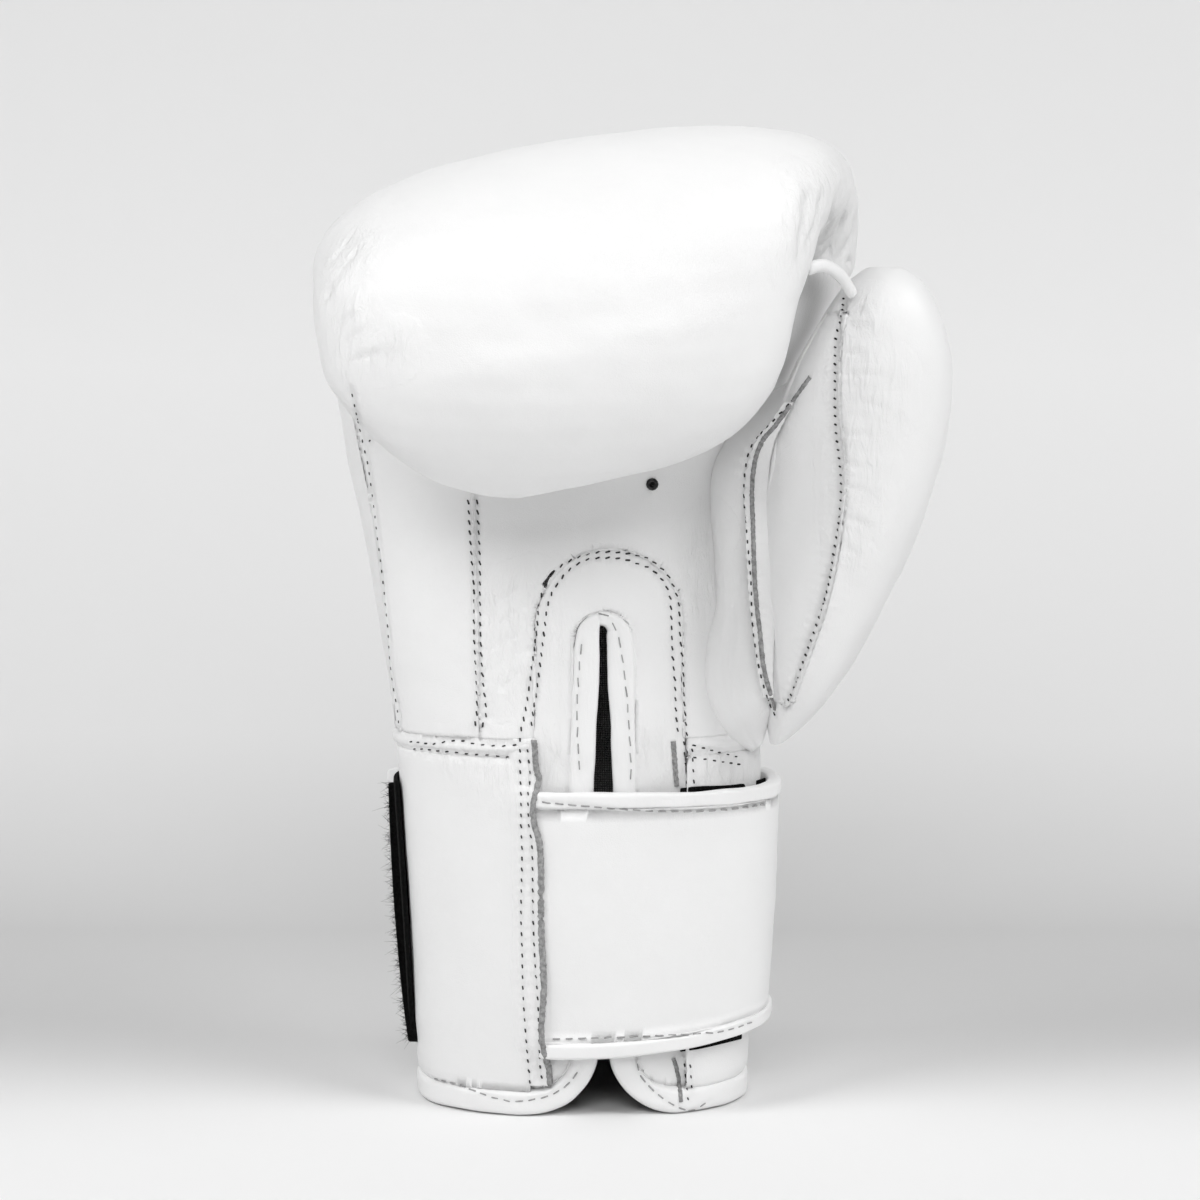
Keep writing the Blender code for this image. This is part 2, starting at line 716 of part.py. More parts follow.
def hem_run():
    """The binding round the hem, from the left corner over the back to the right corner."""
    section = sleeve(HEM_HEIGHT / 2, -CUFF_WALL / 2)
    foot = SLIT_WIDTH / 2 + SLIT_CORNER
    left, right = section.angle_at(SLIT_X - foot), section.angle_at(SLIT_X + foot)
    run = []
    for angle in steps(left, right - TAU, 32):
        ahead, behind = Vector(section.at(angle - 0.01)), Vector(section.at(angle + 0.01))
        normal = Vector((0, 0, 1)).cross((ahead - behind).to_3d()).normalized()
        point = Vector((*section.at(angle), HEM_HEIGHT / 2))
        run.append((point, normal, HEM_HEIGHT, HEM_THICKNESS))
    return run


def build_edge_binding():
    """One band of leather: round the hem, round both corners of the cuff and up both sides of the slit."""
    run = slit_cap(-1) + slit_run(-1) + hem_run() + slit_run(1)[::-1] + slit_cap(1)[:0:-1]
    path, normals, widths, thicknesses = zip(*run)
    sweep("edge_binding", WHITE_LEATHER, path, normals, widths, thicknesses, closed=True)


def thumb_section(share):
    left, right, front, back, power = blend(THUMB, share)
    return Section(
        THUMB_X + left * THUMB_WIDTH,
        THUMB_X + right * THUMB_WIDTH,
        THUMB_Y + front * THUMB_DEPTH,
        THUMB_Y + back * THUMB_DEPTH,
        power,
    )


def thumb_angles(section, share, gap=0.0):
    """Columns from the front seam round the outside to the hand, then across the inner panel."""
    x = section.left + blend(THUMB_SEAM, share)[0] * (section.right - section.left)
    front = section.angle_at(x) - TAU
    hand = math.radians(195)
    outside = THUMB_COLUMNS - THUMB_PANEL_COLUMNS
    return steps(front, hand, outside) + steps(hand, front + TAU, THUMB_PANEL_COLUMNS)[1:-1]


def build_thumb():
    """The padded thumb round its hollow, open to the hand."""
    outer, inner = [], []
    for share in THUMB_SHARES:
        z = THUMB_FOOT + share * THUMB_HEIGHT
        section = thumb_section(share)
        outer.append(level_ring(section, z, thumb_angles(section, share)))
        if THUMB_SHARES[THUMB_SKIPPED] <= share <= 1 - THUMB_SHARES[THUMB_SKIPPED]:
            section = section.grown(-THUMB_WALL * min(1.0, 0.35 + 2.2 * share))
            inner.append(level_ring(section, z, thumb_angles(section, share)))
    outside = THUMB_COLUMNS - THUMB_PANEL_COLUMNS

    def present(i, j):
        low, high = THUMB_SHARES[i], THUMB_SHARES[i + 1]
        if j >= outside:
            return low < PANEL_LOW or high > PANEL_HIGH
        z = THUMB_FOOT + low * THUMB_HEIGHT
        facing_hand = outside - 5 <= j <= outside - 2
        return not (facing_hand and in_thumb_window(z) and in_thumb_window(z + THUMB_HEIGHT / 16))

    wall(
        "thumb_pad",
        WHITE_LEATHER,
        outer,
        inner,
        present,
        wrap=True,
        capped=(True, True),
        skipped=THUMB_SKIPPED,
    )


def build_thumb_panel():
    """The thin leather on the palm side of the thumb, in the pad's opening."""
    outer, inner = [], []
    gap = SEAM_GAP / THUMB_HEIGHT
    for share in steps(PANEL_LOW + gap, PANEL_HIGH - gap, 12):
        for rows, depth in ((outer, 0.0), (inner, -LEATHER)):
            section = thumb_section(share).grown(depth)
            columns = thumb_angles(section, share)
            side = SEAM_GAP / (section.back - section.front) * 2
            low = columns[THUMB_COLUMNS - THUMB_PANEL_COLUMNS] + side
            angles = steps(low, columns[0] + TAU - side, THUMB_PANEL_COLUMNS)
            rows.append(level_ring(section, THUMB_FOOT + share * THUMB_HEIGHT, angles))
    wall("thumb_inner_panel", WHITE_LEATHER, outer, inner)


def build_thumb_welt():
    """The roll of leather in the groove between palm and thumb, and the rolled edge at the thumb's top."""
    path, normals, widths = [], [], []
    for share in steps(0.035, 0.93, 16):
        z = CUFF_HEIGHT + share * PALM_HEIGHT
        width = blend(WELT, share)[0] * WELT_WIDTH
        x = seam(RIGHT_SEAM, z)
        y = sleeve(z).front_at(x) - 0.56 * width
        path.append(Vector((x + 0.34 * width, y, z + hand_tilt(z) * x)))
        normals.append(Vector((0, -1, 0)))
        widths.append(width)
    sweep("thumb_welt", WHITE_LEATHER, path, normals, widths, [0.85 * w for w in widths])
    points = [
        (
            THUMB_X + x * THUMB_WIDTH,
            THUMB_Y + y * THUMB_DEPTH,
            THUMB_FOOT + z * THUMB_HEIGHT,
        )
        for x, y, z in LINK
    ]
    tube("thumb_link", WHITE_LEATHER, points, LINK_DIAMETER)


def strap_course(angle):
    return blend(STRAP_COURSE, math.degrees(angle))


def strap_point(angle, share, out):
    """A point on the strap: share 0 at its lower edge and 1 at its upper edge, out from its inner face."""
    lift, rise = strap_course(angle)
    low = STRAP_BOTTOM + rise * STRAP_HEIGHT
    z = low + share * (STRAP_TOP - low)
    x, y = sleeve(z, lift * STRAP_LIFT + out).at(angle)
    return Vector((x, y, z))


def strap_layer(name, finish, start, end, columns, low, high):
    """A layer of the strap between two angles, and between two distances out from its inner face."""
    edge = (STRAP_EDGE + SEAM_GAP) / STRAP_HEIGHT
    angles = steps(math.radians(start), math.radians(end), columns)
    outer, inner = [], []
    for share in steps(edge, 1 - edge, 2):
        outer.append([strap_point(a, share, high) for a in angles])
        inner.append([strap_point(a, share, low) for a in angles])
    return wall(name, finish, outer, inner)


def build_strap():
    """The closing strap in two layers, its folded edges and the two tapes that hold it."""
    leather = STRAP_LINING + SEAM_GAP
    total = leather + STRAP_THICKNESS
    strap_layer("strap", WHITE_LEATHER, STRAP_START, STRAP_END, 32, leather, total)
    strap_layer("strap_lining", DARK_CLOTH, STRAP_START, HOOK_START - 0.5, 26, 0.0, STRAP_LINING)
    strap_layer("hook_patch", BLACK_TAPE, HOOK_START, HOOK_END, 6, 0.0, STRAP_LINING)
    for name, share in (("strap_binding_bottom", 0.0), ("strap_binding_top", 1.0)):
        side = STRAP_EDGE / 2 / STRAP_HEIGHT
        share += side if share == 0.0 else -side
        path, normals = [], []
        for angle in steps(math.radians(STRAP_START), math.radians(STRAP_END), 32):
            path.append(strap_point(angle, share, total / 2))
            normals.append((strap_point(angle, share, total) - strap_point(angle, share, 0)).normalized())
        thickness = total + 2 * EDGE_FOLD
        sweep(name, WHITE_LEATHER, path, normals, [STRAP_EDGE] * len(path), [thickness] * len(path))


def build_loop():
    outer, inner = [], []
    angles = steps(math.radians(LOOP_START), math.radians(LOOP_END), 10)
    for z in steps(STRAP_BOTTOM, STRAP_TOP, 2):
        outer.append(level_ring(sleeve(z, SEAM_GAP + LOOP_THICKNESS), z, angles))
        inner.append(level_ring(sleeve(z, SEAM_GAP), z, angles))
    wall("loop_patch", BLACK_TAPE, outer, inner)


def lining_half(z):
    """Half width of the lining's opening behind the slit and its flared foot."""
    inner = SLIT_CORNER - SLIT_EDGE - 2 * SEAM_GAP
    drop = max(SLIT_CORNER - z, 0.0)
    return SLIT_WIDTH / 2 + SLIT_CORNER - math.sqrt(max(inner**2 - drop**2, 0.0))


def build_lining():
    """The cloth lining of cuff and hand, open behind the slit and at the thumb."""
    gap = 2 * SEAM_GAP
    outer, inner = [], []
    heights = steps(HEM_HEIGHT + SEAM_GAP, LINING_TOP, 10)
    for z in heights:
        half = lining_half(z)
        for rows, out in ((outer, -gap), (inner, -gap - LINING)):
            section = cavity(z).grown(out)
            right, left = section.angle_at(SLIT_X + half), section.angle_at(SLIT_X - half)
            angles = steps(right - TAU, left, 26)
            rows.append(level_ring(section, z, angles, hand_tilt(z)))

    def present(i, j):
        facing_thumb = 4 <= j <= 6 and in_thumb_window(heights[i]) and in_thumb_window(heights[i + 1])
        return not facing_thumb

    wall("lining", DARK_CLOTH, outer, inner, present)


def main():
    build_fist()
    build_palm()
    build_tongue()
    build_cuff()
    build_edge_binding()
    build_thumb()
    build_thumb_panel()
    build_thumb_welt()
    build_strap()
    build_loop()
    build_lining()


def set_on_base():
    """Moves the glove so that the origin is under the middle of its box, at the hem."""
    bpy.context.view_layer.update()
    solids = [piece for piece in GLOVE.objects if piece.type != "EMPTY"]
    corners = [piece.matrix_world @ Vector(corner) for piece in solids for corner in piece.bound_box]
    low = [min(corner[axis] for corner in corners) for axis in range(3)]
    high = [max(corner[axis] for corner in corners) for axis in range(3)]
    ORIGIN.location = (-(low[0] + high[0]) / 2, -(low[1] + high[1]) / 2, -low[2])
    bpy.context.view_layer.update()


for stale in list(bpy.data.objects):
    bpy.data.objects.remove(stale)
GLOVE = bpy.data.collections.new("boxing_glove")
CUTTERS = bpy.data.collections.new("cutters")
bpy.context.scene.collection.children.link(GLOVE)
bpy.context.scene.collection.children.link(CUTTERS)
ORIGIN = bpy.data.objects.new("glove_origin", None)
GLOVE.objects.link(ORIGIN)
main()
set_on_base()
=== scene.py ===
"""Looks of the white boxing glove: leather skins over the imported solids, seams, stitches, studio and camera.

Lengths are metres unless a name or comment says mm. Seams and folds are drawn as points in the photograph's
1200 by 1200 view, and each point is cast from the camera onto the leather that carries it.
"""

import math

import bmesh
import bpy
import numpy as np
from mathutils import Matrix, Vector
from mathutils.bvhtree import BVHTree
from mathutils.kdtree import KDTree


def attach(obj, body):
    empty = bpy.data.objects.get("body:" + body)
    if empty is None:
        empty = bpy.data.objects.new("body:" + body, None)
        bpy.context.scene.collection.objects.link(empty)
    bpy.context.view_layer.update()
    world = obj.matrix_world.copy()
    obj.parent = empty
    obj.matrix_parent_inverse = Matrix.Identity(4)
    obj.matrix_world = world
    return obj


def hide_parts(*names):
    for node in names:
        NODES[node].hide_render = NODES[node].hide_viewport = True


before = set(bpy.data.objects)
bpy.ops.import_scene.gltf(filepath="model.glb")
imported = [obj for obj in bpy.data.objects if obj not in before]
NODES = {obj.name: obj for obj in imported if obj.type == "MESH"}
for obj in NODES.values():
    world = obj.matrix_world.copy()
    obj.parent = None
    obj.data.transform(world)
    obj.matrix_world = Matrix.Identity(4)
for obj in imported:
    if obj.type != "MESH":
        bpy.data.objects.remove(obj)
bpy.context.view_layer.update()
RNG = np.random.default_rng(7)
MM = 0.001

# Camera, as the photograph was taken
PHOTO_SIDE = 1200
LENS = 90.0
SENSOR = 36.0
DISTANCE = 0.930
ELEVATION = math.radians(5.0)
AIM = Vector((-0.0097, 0.0182, 0.154))


def make_camera():
    """The camera, level with the photograph's and aimed at the middle of the glove."""
    data = bpy.data.cameras.new("camera")
    data.lens = LENS
    data.sensor_width = SENSOR
    data.clip_start = 0.01
    camera = bpy.data.objects.new("camera", data)
    back = Vector((0, -math.cos(ELEVATION), math.sin(ELEVATION)))
    camera.location = AIM + DISTANCE * back
    camera.rotation_euler = (-back).to_track_quat("-Z", "Y").to_euler()
    bpy.context.scene.collection.objects.link(camera)
    bpy.context.scene.camera = camera
    bpy.context.view_layer.update()
    return camera


CAMERA = make_camera()
EYE = CAMERA.matrix_world.translation.copy()


def pixel_ray(px, py):
    """The unit direction from the camera through a pixel of the photograph."""
    half = SENSOR / LENS / 2
    x = (px / PHOTO_SIDE * 2 - 1) * half
    y = (1 - py / PHOTO_SIDE * 2) * half
    return (CAMERA.matrix_world.to_3x3() @ Vector((x, y, -1.0))).normalized()


# Materials


def nodes_of(name):
    """A new material, its node tree and its main shader."""
    material = bpy.data.materials.new(name)
    material.use_nodes = True
    tree = material.node_tree
    return material, tree, tree.nodes["Principled BSDF"]


def add(tree, kind, **settings):
    """A new node with these settings."""
    node = tree.nodes.new(kind)
    for key, value in settings.items():
        setattr(node, key, value)
    return node


def link(tree, source, target):
    tree.links.new(source, target)


def noise_of(tree, scale, detail=4.0, roughness=0.55, distortion=0.0, stretch=None):
    """Noise in the object's own space, drawn out along an axis where stretch is given."""
    place = add(tree, "ShaderNodeTexCoord").outputs["Object"]
    if stretch is not None:
        mapping = add(tree, "ShaderNodeMapping")
        mapping.inputs["Scale"].default_value = stretch
        link(tree, place, mapping.inputs["Vector"])
        place = mapping.outputs["Vector"]
    node = add(tree, "ShaderNodeTexNoise")
    node.inputs["Scale"].default_value = scale
    node.inputs["Detail"].default_value = detail
    node.inputs["Roughness"].default_value = roughness
    node.inputs["Distortion"].default_value = distortion
    link(tree, place, node.inputs["Vector"])
    return node.outputs["Fac"]


def ramp_of(tree, source, stops):
    """The source's value turned into a color by stops of (position, color)."""
    node = add(tree, "ShaderNodeValToRGB")
    ramp = node.color_ramp
    while len(ramp.elements) < len(stops):
        ramp.elements.new(0.5)
    for element, (at, color) in zip(ramp.elements, stops):
        element.position = at
        element.color = (*color, 1.0)
    link(tree, source, node.inputs["Fac"])
    return node.outputs["Color"]


def grey(value):
    return (value, value, value)


def product_of(tree, first, second):
    node = add(tree, "ShaderNodeMath", operation="MULTIPLY")
    link(tree, first, node.inputs[0])
    link(tree, second, node.inputs[1])
    return node.outputs[0]


def mixed(tree, share, first, second):
    """The first color where share is 0 and the second where it is 1. Either may be a constant."""
    mix = add(tree, "ShaderNodeMix", data_type="RGBA")
    link(tree, share, mix.inputs["Factor"])
    for socket, color in ((mix.inputs["A"], first), (mix.inputs["B"], second)):
        if isinstance(color, tuple):
            socket.default_value = (*color, 1.0)
        else:
            link(tree, color, socket)
    return mix.outputs["Result"]


def marked(tree, name):
    """A value that the mesh carries at its points."""
    return add(tree, "ShaderNodeAttribute", attribute_name=name).outputs["Fac"]


def bump_of(tree, heights):
    """Bumps stacked from (height socket, distance in metres, strength)."""
    normal = None
    for source, distance, strength in heights:
        node = add(tree, "ShaderNodeBump")
        node.inputs["Distance"].default_value = distance
        node.inputs["Strength"].default_value = strength
        link(tree, source, node.inputs["Height"])
        if normal is not None:
            link(tree, normal, node.inputs["Normal"])
        normal = node.outputs["Normal"]
    return normal


def pores_of(tree, scale):
    """Small rounded cells with a groove between them."""
    place = add(tree, "ShaderNodeTexCoord")
    cells = add(tree, "ShaderNodeTexVoronoi", feature="DISTANCE_TO_EDGE")
    cells.inputs["Scale"].default_value = scale
    link(tree, place.outputs["Object"], cells.inputs["Vector"])
    return ramp_of(tree, cells.outputs["Distance"], ((0.0, grey(0.0)), (0.22, grey(1.0))))


def leather(name, tone, rough, grain=1.0):
    """Full-grain leather: pores, folds, and what the mesh marks as groove and as fold. The groove mark darkens
    the colour: painted shade in seams, creases and the pocket, with some soiling at the seams.
    """
    material, tree, shader = nodes_of(name)
    cloud = ramp_of(tree, noise_of(tree, 14, 5), ((0.25, grey(tone * 0.955)), (0.75, grey(tone))))
    # The groove mark darkens the colour: painted shade in seams, creases and the pocket, with some soiling at
    # the seams.
    color = mixed(tree, marked(tree, "groove"), cloud, grey(tone * 0.42))
    link(tree, color, shader.inputs["Base Color"])
    shine = ramp_of(tree, noise_of(tree, 60, 4), ((0.3, grey(rough - 0.07)), (0.7, grey(rough + 0.07))))
    link(tree, shine, shader.inputs["Roughness"])
    shader.inputs["Specular IOR Level"].default_value = 0.38
    creases = noise_of(tree, 330, 4, 0.6, 0.9, stretch=(1.0, 1.0, 0.25))
    layers = (
        (noise_of(tree, 45, 3, 0.5, 0.4), 0.0010, 0.15 * grain),
        (product_of(tree, marked(tree, "fold"), creases), 0.0012, 0.9 * grain),
        (noise_of(tree, 230, 5, 0.6, 0.6), 0.0003, 0.32 * grain),
        (pores_of(tree, 1500), 0.00006, 0.35 * grain),
    )
    link(tree, bump_of(tree, layers), shader.inputs["Normal"])
    return material


def raw_edge():
    """The cut edge of the leather: grey, fibrous and dull."""
    material, tree, shader = nodes_of("raw_leather_edge")
    color = ramp_of(tree, noise_of(tree, 900, 6), ((0.3, grey(0.16)), (0.7, grey(0.40))))
    link(tree, color, shader.inputs["Base Color"])
    shader.inputs["Roughness"].default_value = 0.95
    layers = ((noise_of(tree, 1500, 4), 0.0003, 0.8),)
    link(tree, bump_of(tree, layers), shader.inputs["Normal"])
    return material


def thread(name, tone):
    """Twisted sewing thread."""
    material, tree, shader = nodes_of(name)
    color = ramp_of(tree, noise_of(tree, 700, 3), ((0.3, grey(tone * 0.7)), (0.7, grey(tone * 1.2))))
    link(tree, color, shader.inputs["Base Color"])
    shader.inputs["Roughness"].default_value = 0.8
    layers = ((noise_of(tree, 4000, 2), 0.0001, 0.6),)
    link(tree, bump_of(tree, layers), shader.inputs["Normal"])
    return material


def tape(name, tone):
    """Hook and loop tape: black, matt and felted."""
    material, tree, shader = nodes_of(name)
    color = ramp_of(tree, noise_of(tree, 1200, 6), ((0.35, grey(tone * 0.4)), (0.75, grey(tone * 2.4))))
    link(tree, color, shader.inputs["Base Color"])
    shader.inputs["Roughness"].default_value = 1.0
    shader.inputs["Specular IOR Level"].default_value = 0.1
    layers = ((noise_of(tree, 1800, 5), 0.0006, 1.0),)
    link(tree, bump_of(tree, layers), shader.inputs["Normal"])
    return material


# Heights between which the lining goes from black, painted shade deep in the hem, to its own color
LINING_SHADE_BELOW = 0.050
LINING_UNSHADED_ABOVE = 0.095


def band_of(tree, place, direction):
    """One set of the weave's threads."""
    wave = add(tree, "ShaderNodeTexWave", wave_type="BANDS", bands_direction=direction)
    wave.inputs["Scale"].default_value = 420
    wave.inputs["Distortion"].default_value = 0.6
    link(tree, place, wave.inputs["Vector"])
    return wave.outputs["Fac"]


def woven():
    """The lining cloth: a plain weave, painted black as shade where it lies deep inside the hem."""
    material, tree, shader = nodes_of("lining_cloth")
    place = add(tree, "ShaderNodeTexCoord").outputs["Object"]
    weave = product_of(tree, band_of(tree, place, "X"), band_of(tree, place, "Z"))
    color = ramp_of(tree, weave, ((0.0, grey(0.40)), (1.0, grey(0.95))))
    axes = add(tree, "ShaderNodeSeparateXYZ")
    link(tree, place, axes.inputs["Vector"])
    height = add(tree, "ShaderNodeMapRange")
    height.inputs["From Min"].default_value = LINING_SHADE_BELOW
    height.inputs["From Max"].default_value = LINING_UNSHADED_ABOVE
    link(tree, axes.outputs["Z"], height.inputs["Value"])
    # Below the lower height the cloth is painted black: painted shade deep inside the hem.
    color = mixed(tree, height.outputs["Result"], grey(0.002), color)
    link(tree, color, shader.inputs["Base Color"])
    shader.inputs["Roughness"].default_value = 0.9
    link(tree, bump_of(tree, ((weave, 0.0003, 0.8),)), shader.inputs["Normal"])
    return material


def metal():
    """The vent's painted ring, a little uneven in tone."""
    material, tree, shader = nodes_of("vent_metal")
    color = ramp_of(tree, noise_of(tree, 900, 4), ((0.4, grey(0.012)), (0.8, grey(0.07))))
    link(tree, color, shader.inputs["Base Color"])
    shader.inputs["Roughness"].default_value = 0.35
    shader.inputs["Metallic"].default_value = 0.6
    link(tree, bump_of(tree, ((noise_of(tree, 1600, 3), 0.0001, 0.4),)), shader.inputs["Normal"])
    return material


WHITE = leather("white_leather_skin", 0.86, 0.43)
SMOOTH_WHITE = leather("white_leather_binding", 0.88, 0.38, 0.6)
RAW = raw_edge()
# The stitches' dark tone is painted shade, for the shadow in the stitch holes.
STITCH = thread("thread_dark_with_stitch_hole_shade", 0.030)
PALE_STITCH = thread("pale_thread", 0.36)
TAPE = tape("black_tape_felt", 0.004)
CLOTH = woven()


# Seams, stitches and folds, as points in the photograph
PALM_ROWS = (
    ((468, 497), (470, 536), (472, 564), (474, 592), (474, 635), (476, 673), (477, 709), (474, 731)),
    ((477, 497), (479, 538), (480, 569), (480, 599), (481, 648), (483, 681), (486, 714), (480, 731)),
)
ARCH_ROWS = (
    (
        (520, 734), (525, 713), (530, 681), (537, 627), (539, 604), (546, 583), (554, 572), (564, 564),
        (576, 558), (588, 554), (600, 552), (612, 552), (623, 553), (636, 555), (649, 559), (658, 566),
        (666, 573), (672, 583), (676, 593), (679, 606), (680, 634), (683, 666), (684, 699), (687, 736),
    ),
    (
        (531, 729), (533, 713), (538, 681), (544, 633), (547, 609), (552, 593), (559, 582), (566, 573),
        (576, 565), (589, 559), (602, 558), (614, 558), (627, 560), (638, 564), (649, 568), (659, 576),
        (666, 586), (670, 597), (671, 609), (672, 641), (673, 661), (675, 683), (676, 713), (678, 734),
    ),
)
CUFF_ROWS = (
    ((520, 735), (520, 763), (521, 798), (521, 826), (522, 854), (521, 913), (522, 946), (523, 992),
     (526, 1038), (530, 1084)),
    ((527, 746), (530, 776), (528, 795), (529, 828), (532, 847), (533, 910), (534, 943), (536, 977),
     (538, 1004), (540, 1065), (544, 1087)),
    ((684, 738), (685, 760), (687, 784)),
    ((692, 745), (693, 765), (694, 784)),
    ((684, 1060), (686, 1080), (688, 1099)),
    ((690, 1061), (691, 1077), (692, 1093)),
)
WRIST_ROWS = (
    ((395, 741), (415, 742), (433, 744), (450, 741), (464, 741), (475, 744), (499, 746), (515, 745)),
    ((398, 749), (422, 749), (439, 751), (453, 752), (471, 754), (489, 755), (508, 757)),
    ((689, 744), (722, 753), (754, 761)),
    ((684, 756), (717, 761), (750, 766)),
)
SLIT_ROWS = (
    ((582, 641), (579, 672), (577, 716), (580, 779)),
    ((596, 614), (608, 617), (618, 636), (623, 663), (627, 699), (630, 743), (631, 786)),
)
THUMB_ROWS = (
    ((844, 295), (841, 319), (836, 336), (835, 358), (835, 383), (835, 411), (836, 433), (839, 458),
     (841, 486), (839, 522), (834, 551), (829, 583), (820, 615), (807, 651), (795, 686), (779, 717)),
    ((795, 397), (775, 419), (752, 445), (745, 472), (744, 497), (747, 536), (751, 583), (752, 619),
     (757, 658), (766, 694), (775, 715)),
)
LEFT_ROWS = (
    ((351, 390), (364, 448), (368, 466), (374, 508), (378, 543), (382, 575), (386, 610), (388, 630),
     (391, 671), (398, 714), (398, 730)),
    ((378, 430), (371, 439), (364, 448)),
)
STRAP_RIDGES = (
    ((538, 811), (651, 818), (721, 818), (777, 811)),
    ((548, 1034), (623, 1031), (693, 1027), (749, 1017), (767, 1007)),
)
PLEATS = (
    ((797, 258), (801, 240), (806, 215), (809, 180)),
    ((798, 257), (808, 243), (817, 222), (824, 185)),
    ((803, 258), (818, 244), (829, 222), (837, 188)),
    ((815, 262), (830, 250), (841, 228), (847, 196)),
    ((827, 266), (842, 254), (852, 236), (857, 210)),
    ((838, 274), (850, 262), (858, 244)),
)
LEFT_PLEATS = (
    ((326, 300), (330, 292), (333, 284)),
    ((335, 330), (342, 320), (352, 313)),
    ((341, 348), (349, 338), (360, 330)),
    ((346, 366), (354, 359), (372, 354), (395, 349)),
    ((330, 262), (340, 250), (352, 238)),
    ((333, 282), (346, 262), (362, 244)),
)
CUFF_CREASES = (
    ((447, 756), (470, 764), (497, 772)),
    ((462, 756), (488, 768), (512, 784)),
    ((478, 757), (500, 772), (516, 792)),
    ((492, 758), (508, 772), (518, 786)),
    ((700, 772), (725, 776), (752, 772)),
    ((690, 780), (715, 773), (745, 778)),
)
PALM_CREASES = (
    ((490, 604), (514, 592), (534, 586)),
    ((496, 628), (516, 612), (536, 604)),
    ((488, 650), (508, 640), (528, 634)),
    ((688, 560), (702, 540), (718, 524)),
    ((684, 578), (698, 560), (712, 548)),
    ((694, 600), (704, 590), (716, 584)),
    ((560, 640), (568, 660), (571, 690)),
    ((500, 690), (512, 680), (522, 668)),
    ((640, 740), (655, 752), (668, 772)),
    ((548, 748), (560, 764), (570, 782)),
)
# Painted shade in the deep pocket between the fist's fold and the thumb
POCKET_SHADE = (((808, 272), (814, 300), (806, 330), (790, 360), (772, 388)),)
THUMB_CREASES = (
    ((846, 311), (856, 309), (866, 309)),
    ((845, 323), (858, 324), (872, 323)),
    ((843, 350), (852, 352), (866, 353)),
    ((842, 372), (860, 373), (888, 375)),
    ((842, 399), (862, 402), (890, 408)),
    ((842, 432), (856, 434), (872, 434)),
    ((846, 462), (858, 466), (870, 468)),
    ((846, 487), (862, 490), (872, 494)),
    ((845, 516), (862, 522), (876, 530)),
    ((840, 543), (852, 550), (860, 554)),
)
STRAP_ROWS = (
    ((540, 802), (583, 806), (651, 811), (707, 811), (749, 807), (775, 802)),
    ((550, 1039), (623, 1037), (707, 1033), (735, 1028), (762, 1018)),
)
HEM_ROWS = (
    ((419, 1071), (434, 1078), (457, 1084), (480, 1093), (503, 1100), (521, 1101), (548, 1096),
     (568, 1084), (581, 1067)),
    ((636, 1061), (641, 1076), (652, 1089), (667, 1101), (683, 1109), (695, 1109), (712, 1099)),
)
RAW_EDGES = (
    # pixels, width in mm
    (((534, 739), (536, 767), (539, 780), (533, 804), (534, 824), (539, 840), (541, 868), (541, 919),
      (542, 946), (544, 992), (541, 1030), (544, 1053), (549, 1068), (550, 1087)), 1.9),
    (((673, 740), (675, 765), (677, 788)), 1.7),
    (((673, 1057), (678, 1075), (681, 1102)), 1.4),
    (((811, 376), (793, 401), (775, 426), (763, 440), (755, 461), (752, 490), (753, 526), (754, 561),
      (756, 597), (760, 633), (764, 669), (775, 710)), 1.5),
)


def traced(pixels):
    """A smooth run of pixels through these points, about one pixel apart."""
    points = [np.array(p, float) for p in pixels]
    ends = [2 * points[0] - points[1]] + points + [2 * points[-1] - points[-2]]
    run = []
    for a, b, c, d in zip(ends, ends[1:], ends[2:], ends[3:]):
        count = max(2, int(np.linalg.norm(c - b)))
        for t in np.arange(count) / count:
            square = 2 * a - 5 * b + 4 * c - d
            cube = 3 * b - a - 3 * c + d
            run.append(0.5 * (2 * b + (c - a) * t + square * t**2 + cube * t**3))
    return run + [points[-1]]


def tree_of(pieces):
    """One search tree over these pieces' faces."""
    corners, faces = [], []
    for piece in pieces:
        start = len(corners)
        corners += [v.co.copy() for v in piece.data.vertices]
        faces += [[start + i for i in face.vertices] for face in piece.data.polygons]
    return BVHTree.FromPolygons(corners, faces)


# A point is left out where it lies this much deeper or nearer than the middle one of its neighbours
NEIGHBOURS = 20
STEP_IN_DEPTH = 0.0015


def on_glove(tree, pixels):
    """The points and normals where camera rays through these pixels meet the leather, as arrays.

    A ray that slips into a seam meets something deeper than its neighbours do, and is left out.
    """
    points, normals, depths = [], [], []
    for x, y in traced(pixels):
        direction = pixel_ray(x, y)
        point, normal, _, depth = tree.ray_cast(EYE, direction)
        if point is not None:
            points.append(point)
            normals.append(-normal if normal.dot(direction) > 0 else normal)
            depths.append(depth)
    kept = []
    for i, depth in enumerate(depths):
        middle = np.median(depths[max(0, i - NEIGHBOURS) : i + NEIGHBOURS + 1])
        if abs(depth - middle) < STEP_IN_DEPTH:
            kept.append(i)
    return np.array([points[i] for i in kept]), np.array([normals[i] for i in kept])


def run_length(points):
    """The way along a path at each of its points."""
    return np.concatenate([[0.0], np.cumsum(np.linalg.norm(np.diff(points, axis=0), axis=1))])


def at_runs(values, run, at):
    return np.stack([np.interp(at, run, values[:, i]) for i in range(3)], axis=1)


def every(points, normals, pitch):
    """The points and normals at even steps along a path, and the way along it."""
    run = run_length(points)
    at = np.arange(pitch / 2, run[-1], pitch)
    out = at_runs(normals, run, at)
    out /= np.linalg.norm(out, axis=1)[:, None]
    along = at_runs(points, run, at + pitch / 4) - at_runs(points, run, at - pitch / 4)
    along /= np.maximum(np.linalg.norm(along, axis=1)[:, None], 1e-9)
    return at_runs(points, run, at), out, along


# Skins

